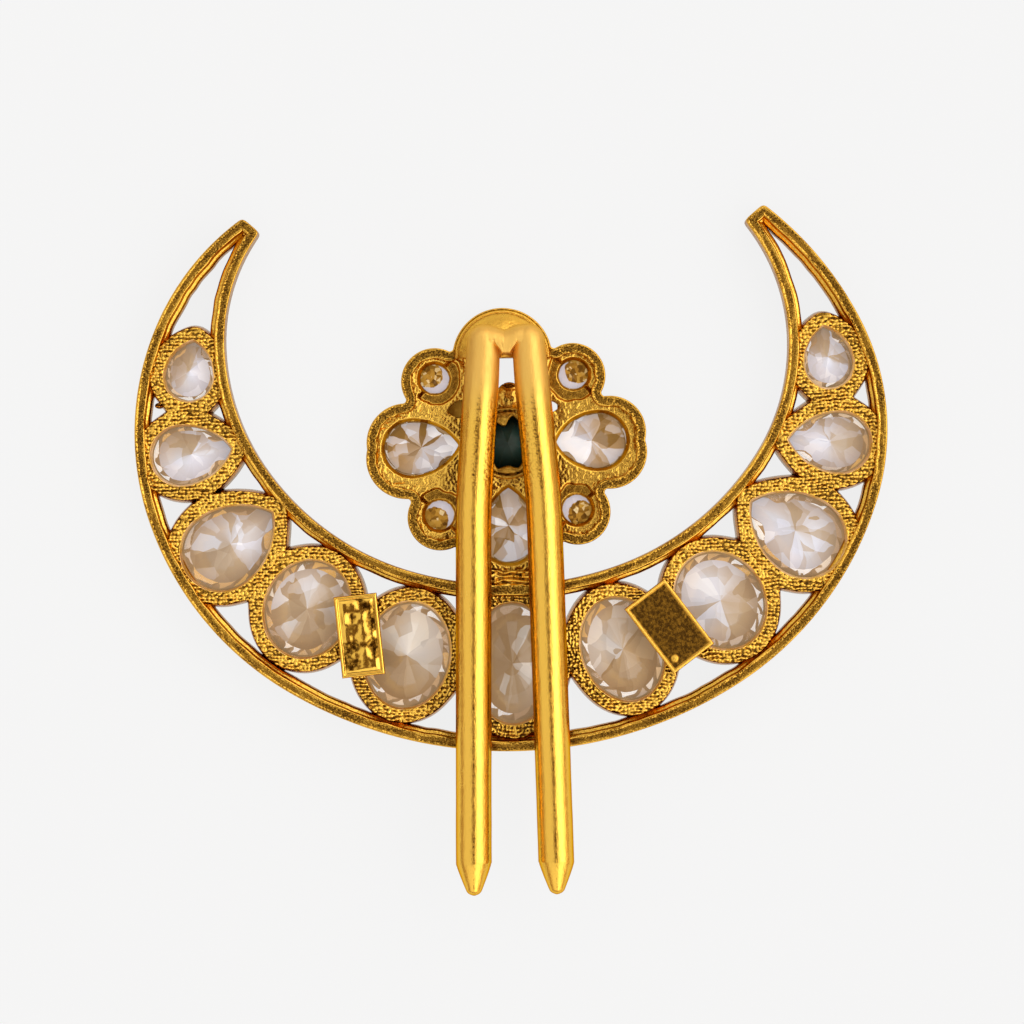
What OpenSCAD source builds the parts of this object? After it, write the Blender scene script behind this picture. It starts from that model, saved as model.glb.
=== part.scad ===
// Temple hair brooch: a crescent of set stones with a flower in its hollow and a two-pronged pin.
// It lies on its front with its back up. +Y points to the horns, -Y to the prongs' points.

/* [Crescent] */
// Width of the crescent from side to side
crescent_w = 55; // [54:0.5:58]
// Depth of the crescent's frame from front to back
frame_depth = 3.4; // [3.3:0.1:4]
// Width of the raised band along the edges
band_w = 0.75; // [0.6:0.05:0.75]
// Width of the low ledge inside the band
ledge_w = 0.35; // [0.2:0.05:0.45]
// Height of the ledge above the front
ledge_depth = 2.3; // [2:0.1:2.7]

/* [Cups] */
// Depth of the cups from front to back
cup_depth = 3.05; // [2.9:0.05:3.2]
// Wall round a stone at the back
cup_wall = 1.0; // [0.8:0.05:1.1]
// How much wider a cup is at the front
cup_flare = 0.16; // [0.05:0.01:0.2]
// How far a seat's back edge stands in over its stone
back_inset = 0.14; // [0.06:0.02:0.3]

/* [Flower] */
// Depth of the flower's rim from front to back
rim_depth = 2.9; // [2.7:0.1:3.2]
// Height of the grainy plate's back above the front
plate_depth = 2.05; // [1.9:0.05:2.2]
// Reach of the lower petal past its stone's seat
petal_reach = 1.7; // [1.65:0.05:1.8]
// Radius of the seat of the centre stone
centre_r = 2; // [1.8:0.05:2.1]
// Number of claws round the centre stone
claw_count = 8; // [6:1:10]
// Height of the dome on the top petal
dome_h = 1.9; // [1.7:0.1:2.2]

/* [Hairpin] */
// Radius of the pin's wire
wire_r = 1.3; // [1.1:0.05:1.4]
// Radius of the prongs' rounded heads
head_r = 1.18; // [1:0.02:1.2]
// Clear height between the crescent's back and the prongs
hair_gap = 0.9; // [0.6:0.1:1.2]
// Radius of the blunt points
point_r = 0.42; // [0.3:0.02:0.6]

/* [Stones] */
// Depth of the crown as a share of half the stone's width
crown_share = 0.28; // [0.22:0.01:0.32]
// Depth of the pavilion as a share of half the stone's width
pavilion_share = 0.72; // [0.6:0.01:0.76]
// Size of the table as a share of the stone
table_share = 0.58; // [0.5:0.01:0.65]
// Number of facets round a stone
facet_count = 16; // [8:8:16]
// Clear space between a stone and its seat
stone_gap = 0.06; // [0.04:0.01:0.1]

/* [Plates] */
// Thickness of the two small plates on the cups
tag_t = 0.7; // [0.5:0.1:1]

/* [Hidden] */
// Plan sizes below are for a crescent 55 wide, and k makes them grow with it
k = crescent_w / 55;
arc_step = 7;
seat_sides = 16;
wire_sides = 20;
solder_r = 0.12;
table_z = 0.12;
girdle_t = 0.14;
lip_w = 0.1;
seat_drop = 0.32;
embed = 0.1;

// The crescent's edges: chains of tangent arcs that start at the bottom and climb each side,
// as rows of radius and sweep
RADIUS = 0;
SWEEP = 1;
outer_bottom = -22.05 * k;
inner_bottom = -9.9 * k;
outer_right = [[31.2, 31.5], [24.4, 40.5], [17.6, 44.25], [24.8, 25.75]];
outer_left = [[31.7, 31.25], [23, 41.25], [20, 42.5], [18.7, 30.25]];
inner_right = [[24.3, 18], [20, 39.5], [14.9, 34.75], [14.1, 36.5]];
inner_left = [[25.2, 17.5], [19.5, 39.25], [16.3, 33], [13.4, 37.25]];
horn_round = 0.3;

// Seats, as rows of form, middle, length, width and turn of the long axis or point
FORM = 0;
MID_X = 1;
MID_Y = 2;
LENGTH = 3;
WIDTH = 4;
TURN = 5;
PEAR = 0;
OVAL = 1;
function grown(rows) = [for (row = rows)
    [row[FORM], k * row[MID_X], k * row[MID_Y], k * row[LENGTH], k * row[WIDTH], row[TURN]]];

crescent_seats = grown([
    [PEAR, -23.30, 6.15, 4.5, 3.6, 81],
    [PEAR, -23.25, 0.05, 6.0, 4.4, 7],
    [PEAR, -20.50, -6.55, 7.7, 5.8, 36],
    [OVAL, -15.00, -11.40, 7.3, 6.3, 68],
    [OVAL, -7.75, -14.90, 7.9, 6.3, 78],
    [OVAL, -0.05, -15.65, 8.9, 6.1, 90],
    [OVAL, 8.00, -14.75, 7.8, 6.0, 108],
    [OVAL, 15.20, -11.30, 7.5, 6.4, 122],
    [PEAR, 20.75, -6.30, 7.8, 5.9, 145],
    [PEAR, 23.40, 0.15, 6.1, 4.5, 176],
    [PEAR, 23.40, 6.35, 4.6, 3.6, 97],
]);
petal_seats = grown([
    [PEAR, -6.45, 0.25, 5.7, 4.2, 3],
    [PEAR, 6.00, 0.55, 5.4, 4.3, 181],
    [PEAR, -0.15, -5.55, 5.8, 4.2, 90],
    [OVAL, -5.40, 5.25, 2.4, 2.4, 0],
    [OVAL, 4.75, 5.40, 2.4, 2.4, 0],
    [OVAL, -5.20, -4.70, 2.4, 2.4, 0],
    [OVAL, 4.85, -4.45, 2.4, 2.4, 0],
]);
lower_petal = 2;
centre = [OVAL, -0.15 * k, 0.50 * k, 2 * centre_r, 2 * centre_r, 0];

// The flower's outline: its hub and lobes, two to each side petal, as rows of middle and radius
LOBE_X = 0;
LOBE_Y = 1;
LOBE_R = 2;
lobes = k * [
    [-0.15, 0.50, 5.5],
    [-7.55, 0.60, 2.9], [-7.55, -0.55, 2.95],
    [7.35, 1.15, 2.65], [7.35, -0.30, 2.7],
    [-5.40, 5.05, 2.45], [4.70, 5.30, 2.4],
    [-5.15, -4.90, 2.4], [4.90, -4.65, 2.4],
];
notch_r = 0.25;

// The top petal, which a dome closes and a straight edge cuts off below
top_petal = [-0.42 * k, 6.7 * k];
top_petal_r = 3.65 * k;
top_petal_cut = 6.75 * k;
dome_inset = 0.15;
dome_base = 1;

// See-through gaps in the flower, as rows of form, middle, length, width and turn
flower_gaps = grown([
    [OVAL, -0.13, 5.65, 2.6, 2.1, 0],
    [OVAL, -3.65, 3.05, 1.7, 1.3, 0],
    [OVAL, 3.05, 3.10, 1.2, 0.9, 0],
    [OVAL, -3.50, -2.25, 0.9, 0.7, 40],
    [OVAL, 3.35, -2.15, 0.9, 0.7, -40],
]);

// Claws round the centre stone: how far out they stand, their radius and their reach each way
claw_out = 0.15;
claw_r = 0.5;
claw_low = 0.6;
claw_high = 0.15;

// The hairpin's prongs: heights of their stations and half of the space between their middles there
pin_x = -0.13 * k;
head_y = 7.9 * k;
head_half = 1.6 * k;
shoulder_y = 4 * k;
shoulder_half = 1.91 * k;
bend_y = -4 * k;
bend_half = 2.56 * k;
taper_y = -30 * k;
taper_half = 3 * k;
tip_y = -32.4 * k;
joint_step = 0.03;
joint_sink = 0.5;

// The filed web between the heads: its top, its lower edge and the notches beside its tongue
web_top = 8.75 * k;
web_side = 0.9 * k;
web_bottom = 7.05 * k;
web_notch_x = 0.5 * k;
web_notch = 0.2 * k;
web_rise = 0.75 * wire_r;

// Small plates, as rows of middle, width, length and turn
TAG_W = 2;
TAG_L = 3;
TAG_TURN = 4;
left_tag = [-11.2 * k, -13.4 * k, 3.15, 5.95, 5.3];
right_tag = [11.42 * k, -13.12 * k, 3.7, 5.95, 36.3];
tag_border = 0.25;
tag_sink = 0.12;

// Points along a chain of tangent arcs from (x, y), turning left from a heading
function arc_chain(rows, x, y, heading, i = 0) =
    i == len(rows) ? [] :
    let (r = k * rows[i][RADIUS], sweep = rows[i][SWEEP], steps = ceil(sweep / arc_step),
         cx = x - r * sin(heading), cy = y + r * cos(heading), end = heading + sweep)
    concat([for (j = [1:steps]) let (a = heading + sweep * j / steps) [cx + r * sin(a), cy - r * cos(a)]],
           arc_chain(rows, cx + r * sin(end), cy - r * cos(end), end, i + 1));

function flip_x(points) = [for (p = points) [-p[0], p[1]]];
function back_to_front(list) = [for (i = [len(list) - 1:-1:0]) list[i]];

crescent_points = concat(
    [[0, outer_bottom]], arc_chain(outer_right, 0, outer_bottom, 0),
    back_to_front(arc_chain(inner_right, 0, inner_bottom, 0)), [[0, inner_bottom]],
    flip_x(arc_chain(inner_left, 0, inner_bottom, 0)),
    back_to_front(flip_x(arc_chain(outer_left, 0, outer_bottom, 0))));

// The origin is the middle of the whole brooch in plan, on the plane it lies on
mid_x = (max([for (p = crescent_points) p[0]]) + min([for (p = crescent_points) p[0]])) / 2;
mid_y = (max([for (p = crescent_points) p[1]]) + tip_y) / 2;

// Points of an oval grown by a margin, and of a pear whose point is at +X: half a circle closed by
// two arcs that meet at the point
function oval_points(l, w, grow, n) =
    [for (i = [0:n - 1])
        let (a = 360 * i / n, nx = cos(a) / l, ny = sin(a) / w, m = norm([nx, ny]))
        [l / 2 * cos(a) + grow * nx / m, w / 2 * sin(a) + grow * ny / m]];

function pear_points(l, w, grow, n) =
    let (r = w / 2, cx = r - l / 2, side_r = (pow(l - r, 2) + r * r) / w, sweep = atan2(l - r, side_r - r),
         side = n / 4, half = n / 2,
         lower = [for (i = [1:side]) let (a = sweep * i / side)
             [cx + (side_r + grow) * sin(a), side_r - r - (side_r + grow) * cos(a)]],
         tip = grow > 0 ? [for (i = [1:3]) let (a = (i - 2) * (90 - sweep) / 2)
             [l / 2 + grow * cos(a), grow * sin(a)]] : [])
    concat([for (i = [0:half]) let (a = 90 + 180 * i / half) [cx + (r + grow) * cos(a), (r + grow) * sin(a)]],
           grow > 0 ? lower : [for (i = [0:side - 2]) lower[i]],
           grow > 0 ? tip : [[tip_x(l, r, side_r, cx, grow), 0]],
           [for (i = [grow > 0 ? side : side - 1:-1:1]) let (a = sweep * i / side)
             [cx + (side_r + grow) * sin(a), r - side_r + (side_r + grow) * cos(a)]]);

// Where the two side arcs of a pear cross, for a margin of zero or less
function tip_x(l, r, side_r, cx, grow) = cx + sqrt(pow(side_r + grow, 2) - pow(side_r - r, 2));

module seat_shape(seat, grow, n = seat_sides)
    translate([seat[MID_X], seat[MID_Y]])
        rotate(seat[TURN])
            polygon(seat[FORM] == PEAR ? pear_points(seat[LENGTH], seat[WIDTH], grow, n)
                                       : oval_points(seat[LENGTH], seat[WIDTH], grow, n));

// Heights above the front: the girdles lie in one plane in the crescent and in another in the
// flower, each set by the widest stone there
function widest(seats) = max([for (seat = seats) seat[WIDTH]]);
girdle_z = table_z + crown_share * widest(crescent_seats) / 2;
petal_girdle_z = table_z + crown_share * widest(petal_seats) / 2;
lip_z = girdle_z - girdle_t;
pocket_z = girdle_z + girdle_t + seat_drop;
petal_lip_z = petal_girdle_z - girdle_t;
petal_pocket_z = petal_girdle_z + girdle_t + seat_drop;
axis_z = frame_depth + hair_gap + wire_r;

// Plan shapes, all in the crescent's own frame
module crescent_shape()
    offset(r = horn_round, $fn = 24) offset(delta = -horn_round) polygon(crescent_points);

// A strip of the crescent's shape between two distances in from its edge
module strip_shape(near, far)
    difference() {
        offset(delta = -near) crescent_shape();
        offset(delta = -far) crescent_shape();
    }

module seats_shape(seats, grow)
    for (seat = seats)
        seat_shape(seat, grow);

// The cups' outline, with the sharp inner corners filled as solder fills them
module cups_shape(flare)
    offset(r = -solder_r, $fn = 8) offset(r = solder_r, $fn = 8)
        intersection() {
            offset(delta = -band_w / 2) crescent_shape();
            seats_shape(crescent_seats, cup_wall + flare);
        }

module flower_shape()
    offset(r = -notch_r, $fn = 16) offset(r = notch_r, $fn = 16) {
        seat_shape(petal_seats[lower_petal], petal_reach);
        translate(top_petal)
            circle(r = top_petal_r, $fn = 48);
        for (lobe = lobes)
            translate([lobe[LOBE_X], lobe[LOBE_Y]])
                circle(r = lobe[LOBE_R], $fn = 36);
    }

module prism(low, high)
    translate([0, 0, low])
        linear_extrude(high - low)
            children();

// The cups in layers: front lips over the stones, pockets, and the narrower openings at the back
module cup_layer(low, high, flare, grow)
    prism(low, high)
        difference() {
            cups_shape(flare);
            seats_shape(crescent_seats, grow);
        }

module crescent() {
    prism(0, frame_depth)
        strip_shape(0, band_w);
    prism(0, ledge_depth)
        difference() {
            strip_shape(band_w - embed, band_w + ledge_w);
            seats_shape(crescent_seats, stone_gap);
        }
    cup_layer(0, lip_z, cup_flare, -lip_w);
    cup_layer(lip_z, pocket_z, cup_flare, stone_gap);
    cup_layer(pocket_z, cup_depth, 0, -back_inset);
}

// The flower in layers: front lips, pockets, narrower openings in the plate, and a raised rim
module flower_layer(low, high, grow)
    prism(low, high)
        difference() {
            flower_shape();
            seats_shape(flower_gaps, 0);
            seats_shape(petal_seats, grow);
            seats_shape([centre], grow);
        }

module flower() {
    flower_layer(0, petal_lip_z, -lip_w);
    flower_layer(petal_lip_z, petal_pocket_z, stone_gap);
    flower_layer(petal_pocket_z, plate_depth, -back_inset);
    prism(plate_depth, rim_depth)
        difference() {
            flower_shape();
            offset(delta = -band_w) flower_shape();
        }
}

module dome() {
    r = top_petal_r - dome_inset;
    sphere_r = (r * r + dome_h * dome_h) / (2 * dome_h);
    translate([top_petal[0], top_petal[1], 0])
        intersection() {
            translate([0, 0, rim_depth + dome_h - sphere_r])
                sphere(r = sphere_r, $fn = 64);
            translate([-r, top_petal_cut - top_petal[1], dome_base])
                cube([2 * r, 2 * r, rim_depth + dome_h]);
            cylinder(r = r, h = 2 * rim_depth + dome_h, $fn = 64);
        }
}

module claws()
    translate([centre[MID_X], centre[MID_Y], plate_depth - claw_low])
        for (i = [0:claw_count - 1])
            rotate(90 + 360 * i / claw_count)
                translate([centre_r + claw_out, 0, 0])
                    cylinder(r = claw_r, h = claw_low + claw_high, $fn = 24);

// The upper part of a prong: rings round a line of stations, as rows of height, place across and
// radius, from the rounded head to a narrower end sunk in the lower part
function prong_stations(side) = concat(
    [for (a = [80:-20:0]) [head_y + head_r * sin(a), side * head_half, head_r * cos(a)]],
    [[shoulder_y, side * shoulder_half, wire_r],
     [bend_y, side * bend_half, wire_r - joint_step],
     [bend_y - joint_sink, side * bend_half, wire_r - joint_sink]]);

module upper_prong(side) {
    rows = prong_stations(side);
    n = wire_sides;
    m = len(rows);
    points = [for (row = rows) for (i = [0:n - 1])
        let (a = 360 * i / n)
        [pin_x + row[1] + row[2] * cos(a), row[0], axis_z + row[2] * sin(a)]];
    faces = concat(
        [[for (i = [0:n - 1]) i]],
        [for (j = [0:m - 2]) for (i = [0:n - 1])
            let (a = j * n + i, b = j * n + (i + 1) % n) [a, a + n, b + n, b]],
        [[for (i = [n - 1:-1:0]) (m - 1) * n + i]]);
    polyhedron(points, faces);
}

// The lower part of a prong: a round bar, its taper and its blunt point, turned about its own line
module lower_prong(side) {
    run = [side * (taper_half - bend_half), taper_y - bend_y];
    straight = norm(run);
    tip = straight + taper_y - tip_y;
    translate([pin_x + side * bend_half, bend_y, axis_z])
        rotate([0, 90, atan2(run[1], run[0])])
            rotate_extrude($fn = 48)
                polygon(concat(
                    [[0, 0], [wire_r, 0], [wire_r, straight]],
                    [for (a = [0:30:90]) [point_r * cos(a), tip - point_r * (1 - sin(a))]]));
}

module web()
    prism(rim_depth, axis_z + web_rise)
        polygon([
            [pin_x - head_half, head_y + web_side], [pin_x, web_top], [pin_x + head_half, head_y + web_side],
            [pin_x + head_half, web_bottom], [pin_x + web_notch_x, web_bottom + web_notch],
            [pin_x, web_bottom], [pin_x - web_notch_x, web_bottom + web_notch],
            [pin_x - head_half, web_bottom],
        ]);

module tag(row) {
    w = row[TAG_W];
    l = row[TAG_L];
    translate([row[0], row[1], cup_depth - embed])
        rotate(row[TAG_TURN])
            difference() {
                translate([-w / 2, -l / 2, 0])
                    cube([w, l, tag_t + embed]);
                translate([-w / 2 + tag_border, -l / 2 + tag_border, tag_t + embed - tag_sink])
                    cube([w - 2 * tag_border, l - 2 * tag_border, tag_t]);
            }
}

// The whole brooch, moved from the crescent's frame to its origin
module place()
    translate([-mid_x, -mid_y, 0])
        children();

module setting()
    color("goldenrod")
        place() {
            crescent();
            flower();
            claws();
            dome();
            for (side = [-1, 1]) {
                upper_prong(side);
                lower_prong(side);
            }
            web();
            tag(left_tag);
            tag(right_tag);
        }

// A cut stone: table, crown, thin girdle, pavilion and a point at the back
module stone(seat, g, tint) {
    half_w = seat[WIDTH] / 2;
    n = facet_count;
    ring = seat[FORM] == PEAR ? pear_points(seat[LENGTH], seat[WIDTH], 0, n)
                              : oval_points(seat[LENGTH], seat[WIDTH], 0, n);
    m = len(ring);
    // Rows of the outline's scale and its height: the table's edge and both edges of the girdle
    levels = [[table_share, g - crown_share * half_w], [1, g], [1, g + girdle_t]];
    points = concat(
        [for (level = levels) for (p = ring) [p[0] * level[0], p[1] * level[0], level[1]]],
        [[0, 0, g + girdle_t + pavilion_share * half_w]]);
    faces = concat(
        [[for (i = [0:m - 1]) i]],
        [for (j = [0:1]) for (i = [0:m - 1])
            let (a = j * m + i, b = j * m + (i + 1) % m) [a, a + m, b + m, b]],
        [for (i = [0:m - 1]) [2 * m + i, 3 * m, 2 * m + (i + 1) % m]]);
    color(tint)
        place()
            translate([seat[MID_X], seat[MID_Y], 0])
                rotate(seat[TURN])
                    polyhedron(points, faces);
}

clear_tint = [0.93, 0.9, 0.9, 0.8];
green_tint = [0.05, 0.16, 0.14];

setting();
for (i = [0:len(crescent_seats) - 1])
    stone(crescent_seats[i], girdle_z, clear_tint);
for (i = [0:len(petal_seats) - 1])
    stone(petal_seats[i], petal_girdle_z, clear_tint);
stone(centre, petal_girdle_z, green_tint);  // centre_stone
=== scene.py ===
import math

import bpy
import numpy as np
from bpy.props import FloatProperty, FloatVectorProperty, IntProperty, PointerProperty
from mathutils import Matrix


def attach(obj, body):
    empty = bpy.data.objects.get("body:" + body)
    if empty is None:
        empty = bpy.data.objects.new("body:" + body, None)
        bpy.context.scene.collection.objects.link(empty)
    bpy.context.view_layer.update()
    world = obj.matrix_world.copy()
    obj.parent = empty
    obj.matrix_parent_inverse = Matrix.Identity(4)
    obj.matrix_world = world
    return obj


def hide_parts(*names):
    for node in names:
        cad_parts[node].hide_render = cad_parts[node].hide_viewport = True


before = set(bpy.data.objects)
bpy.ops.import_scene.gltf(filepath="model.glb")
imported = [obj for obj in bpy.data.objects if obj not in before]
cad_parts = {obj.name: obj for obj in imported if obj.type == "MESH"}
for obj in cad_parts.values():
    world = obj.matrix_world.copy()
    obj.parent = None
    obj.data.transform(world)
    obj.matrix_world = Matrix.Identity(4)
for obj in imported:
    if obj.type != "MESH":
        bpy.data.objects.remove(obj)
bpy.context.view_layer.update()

bl_info = {
    "name": "Temple hair brooch",
    "version": (1, 0, 0),
    "blender": (4, 5, 0),
    "location": "3D View > Sidebar > Brooch",
    "description": "Dresses the packed brooch: gilt crescent, stone-set flower and hairpin",
    "category": "Object",
}

MM = 0.001
FINISHES = {}

# Heights in millimetres above the floor that the brooch's front lies on
FRAME_TOP = 3.4
LEDGE_TOP = 2.3
CUP_TOP = 3.05
RIM_TOP = 2.9
PLATE_TOP = 2.05
PIN_AXIS = 5.6
TAG_TOP = 3.75
TAG_BOTTOM = 2.95
GIRDLE_Z = 1.016
PETAL_GIRDLE_Z = 0.722

# Thickness of a stone's girdle, and its crown and pavilion as shares of half its width
GIRDLE = 0.14
CROWN_SHARE = 0.28
PAVILION_SHARE = 0.72

# Heights of the casting's rows between which dirt and painted shade in their low parts go from full to none,
# and their highest point
HOLLOW_FROM = 0.46
HOLLOW_TO = 0.77
ROWS_TOP = 0.9

# Strength of the painted glow that the stones give off in their own colour, standing in for light through
# their open fronts
PAINTED_GLOW = 0.55

# The crescent's edges in millimetres: chains of tangent arcs from the bottom, as rows of radius and sweep
OUTER_BOTTOM = -22.05
INNER_BOTTOM = -9.9
OUTER_RIGHT = [(31.2, 31.5), (24.4, 40.5), (17.6, 44.25), (24.8, 25.75)]
OUTER_LEFT = [(31.7, 31.25), (23.0, 41.25), (20.0, 42.5), (18.7, 30.25)]
INNER_RIGHT = [(24.3, 18.0), (20.0, 39.5), (14.9, 34.75), (14.1, 36.5)]
INNER_LEFT = [(25.2, 17.5), (19.5, 39.25), (16.3, 33.0), (13.4, 37.25)]
PIN_TIP = -32.4

# Seats in millimetres and degrees, as rows of form, middle x and y, length, width and turn
CRESCENT_SEATS = [
    ("pear", -23.30, 6.15, 4.5, 3.6, 81),
    ("pear", -23.25, 0.05, 6.0, 4.4, 7),
    ("pear", -20.50, -6.55, 7.7, 5.8, 36),
    ("oval", -15.00, -11.40, 7.3, 6.3, 68),
    ("oval", -7.75, -14.90, 7.9, 6.3, 78),
    ("oval", -0.05, -15.65, 8.9, 6.1, 90),
    ("oval", 8.00, -14.75, 7.8, 6.0, 108),
    ("oval", 15.20, -11.30, 7.5, 6.4, 122),
    ("pear", 20.75, -6.30, 7.8, 5.9, 145),
    ("pear", 23.40, 0.15, 6.1, 4.5, 176),
    ("pear", 23.40, 6.35, 4.6, 3.6, 97),
]
LARGE_PETAL_SEATS = [
    ("pear", -6.45, 0.25, 5.7, 4.2, 3),
    ("pear", 6.00, 0.55, 5.4, 4.3, 181),
    ("pear", -0.15, -5.55, 5.8, 4.2, 90),
]
SMALL_PETAL_SEATS = [
    ("oval", -5.40, 5.25, 2.4, 2.4, 0),
    ("oval", 4.75, 5.40, 2.4, 2.4, 0),
    ("oval", -5.20, -4.70, 2.4, 2.4, 0),
    ("oval", 4.85, -4.45, 2.4, 2.4, 0),
]
PETAL_SEATS = LARGE_PETAL_SEATS + SMALL_PETAL_SEATS
CENTRE_SEAT = ("oval", -0.15, 0.50, 4.0, 4.0, 0)

# Directions in degrees in which each stone shows the paler side of its painted reflection, in the order of
# the seats
CRESCENT_PALE = [-35, -60, 10, 110, 50, 0, 175, 160, 215, 190, 230]
PETAL_PALE = [-60, 215, -90]
PETAL_SEEDS = [211, 205, 214, 203, 204, 205, 206]
PETAL_WARMTH = [0.22, 0.12, 0.3, 0, 0, 0, 0]

# The flower's lobes, counter-clockwise from the top petal, as rows of middle x and y and radius
LOBES = [
    (-0.42, 6.70, 3.65),
    (-5.40, 5.05, 2.45),
    (-7.55, 0.60, 2.90),
    (-7.55, -0.55, 2.95),
    (-5.15, -4.90, 2.40),
    (-0.15, -6.35, 3.80),
    (4.90, -4.65, 2.40),
    (7.35, -0.30, 2.70),
    (7.35, 1.15, 2.65),
    (4.70, 5.30, 2.40),
]
FLOWER_DISC = (-0.15, 0.50, 7.0)
NOTCH_R = 0.25

# See-through gaps in the flower, as rows of form, middle x and y, length, width and turn. The first one is
# below the hairpin's head, and a rounded mound, with a middle x and y and radius, stands at its lower end.
FLOWER_GAPS = [
    ("oval", -0.13, 5.80, 3.4, 2.2, 90),
    ("pear", -3.55, 3.00, 2.0, 1.4, 185),
    ("pear", 3.05, 3.10, 1.25, 0.9, 0),
    ("oval", -3.55, -2.25, 0.7, 0.45, 40),
    ("oval", 3.45, -2.15, 0.7, 0.45, -40),
]
FRONT_GAPS = [FLOWER_GAPS[0], FLOWER_GAPS[2]]
MOUND = (0.05, 4.0, 0.93)

# The prongs' middle lines, as rows of y, half of the space between them and radius
PIN_X = -0.13
PRONG_ROWS = [
    (9.08, 1.60, 0.00),
    (7.90, 1.60, 1.18),
    (4.00, 1.91, 1.30),
    (-4.00, 2.56, 1.30),
    (-30.00, 3.00, 1.30),
    (-32.40, 3.04, 0.00),
]
PRONG_RINGS = 470
PRONG_SIDES = 96
PRONG_WINDOW = 41

# The web's upper edge between the prongs' heads, as rows of place across and y
WEB_EDGE = [
    (-1.6, 9.08), (-1.25, 9.05), (-0.75, 8.93), (-0.35, 8.77), (-0.12, 8.70),
    (0.15, 8.77), (0.5, 8.93), (0.9, 9.05), (1.3, 9.08), (1.6, 9.08),
]

# The small plates, as rows of name, middle x and y, width, length, turn, finish, relief, and True for a knob
TAGS = [
    ("left_tag", -11.2, -13.4, 3.15, 5.95, 5.3, "tag_bright", 0.15, False),
    ("right_tag", 11.42, -13.12, 3.7, 5.95, 36.3, "tag_brown", 0.03, True),
]


class BroochSizes(bpy.types.PropertyGroup):
    """Sizes that a user may change."""

    band_width: FloatProperty(
        name="Band width", description="Width of the raised band along the edges",
        default=0.75 * MM, unit="LENGTH")
    ledge_width: FloatProperty(
        name="Ledge width", description="Width of the low ledge inside the band",
        default=0.35 * MM, unit="LENGTH")
    cup_wall: FloatProperty(
        name="Cup wall", description="Wall round a stone at the back",
        default=1.0 * MM, unit="LENGTH")
    cup_flare: FloatProperty(
        name="Cup flare", description="How much wider a cup is at the front",
        default=0.2 * MM, unit="LENGTH")
    ridge_pitch: FloatProperty(
        name="Ridge pitch", description="Space between the casting's ridges",
        default=0.27 * MM, unit="LENGTH")
    ridge_depth: FloatProperty(
        name="Ridge depth", description="Depth of the casting's ridges",
        default=0.15 * MM, unit="LENGTH")
    grain_size: FloatProperty(
        name="Grain size", description="Size of the flower plate's grains",
        default=0.2 * MM, unit="LENGTH")
    grain_depth: FloatProperty(
        name="Grain depth", description="Depth between the flower plate's grains",
        default=0.07 * MM, unit="LENGTH")
    mesh_step: FloatProperty(
        name="Mesh step", description="Space between the points of the fine surfaces",
        default=0.048 * MM, unit="LENGTH")
    facets: IntProperty(
        name="Facets", description="Main facets round a large stone",
        default=16, min=8, max=24)


class BroochColours(bpy.types.PropertyGroup):
    """Colours that a user may change."""

    gold: FloatVectorProperty(
        name="Gold", description="Gilding where it is worn bright",
        subtype="COLOR", default=(0.90, 0.53, 0.080))
    # Deep gold is painted shade on the gilding's sides, and also tints its reflections at grazing angles
    side_shade_gold: FloatVectorProperty(
        name="Deep gold", description="Gilding in hollows and on sides",
        subtype="COLOR", default=(0.66, 0.36, 0.065))
    worn: FloatVectorProperty(
        name="Worn gold", description="Rubbed gilding of the hairpin's head",
        subtype="COLOR", default=(0.86, 0.53, 0.13))
    # Amber and brown darken the gilding where hollow is high, partly dirt and partly painted shade; brown
    # also paints the shade on undersides
    dirt_and_shade_amber: FloatVectorProperty(
        name="Amber", description="Gold under a little dirt",
        subtype="COLOR", default=(0.48, 0.23, 0.024))
    dirt_and_shade_brown: FloatVectorProperty(
        name="Brown", description="Old dirt in the hollows",
        subtype="COLOR", default=(0.085, 0.038, 0.006))
    # The seat wall's colour is a painted reflection of the stone beside it
    painted_reflection_peach: FloatVectorProperty(
        name="Seat wall", description="Smooth wall round a stone",
        subtype="COLOR", default=(0.95, 0.62, 0.30))
    # Pale stone and tan stone paint the reflections in the clear stones' facets
    pale: FloatVectorProperty(
        name="Pale stone", description="Bright facets of the clear stones",
        subtype="COLOR", default=(0.60, 0.60, 0.68))
    warm: FloatVectorProperty(
        name="Warm stone", description="Cast of the crescent's middle stones",
        subtype="COLOR", default=(0.95, 0.84, 0.66))
    tan: FloatVectorProperty(
        name="Tan stone", description="Warm facets of the clear stones",
        subtype="COLOR", default=(0.40, 0.30, 0.205))
    green: FloatVectorProperty(
        name="Green stone", description="The centre stone",
        subtype="COLOR", default=(0.024, 0.052, 0.040))
    floor: FloatVectorProperty(
        name="Floor", description="The pale floor",
        subtype="COLOR", default=(0.905, 0.905, 0.905))


def sizes():
    """The sizes in use, in metres."""
    return bpy.context.scene.brooch_sizes


def colours():
    """The colours in use."""
    return bpy.context.scene.brooch_colours


# Outlines: closed lines of points, counter-clockwise, in millimetres in the crescent's own frame

def arc_chain(rows, start_y, step=0.1):
    """A chain of arcs from (0, start_y) that turns left, each tangent to the last: the middle of an arc
    lies a radius to the left of the heading, and its points are the middle plus the radius times (sin a,
    -cos a)."""
    place = np.array([0.0, start_y])
    heading = 0.0
    chain = [place[None]]
    for radius, sweep in rows:
        middle = place + radius * np.array([-math.sin(heading), math.cos(heading)])
        end = heading + math.radians(sweep)
        turns = np.linspace(heading, end, int(radius * (end - heading) / step) + 2)[1:, None]
        arc = middle + radius * np.hstack([np.sin(turns), -np.cos(turns)])
        chain.append(arc)
        place, heading = arc[-1], end
    return np.vstack(chain)


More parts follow.
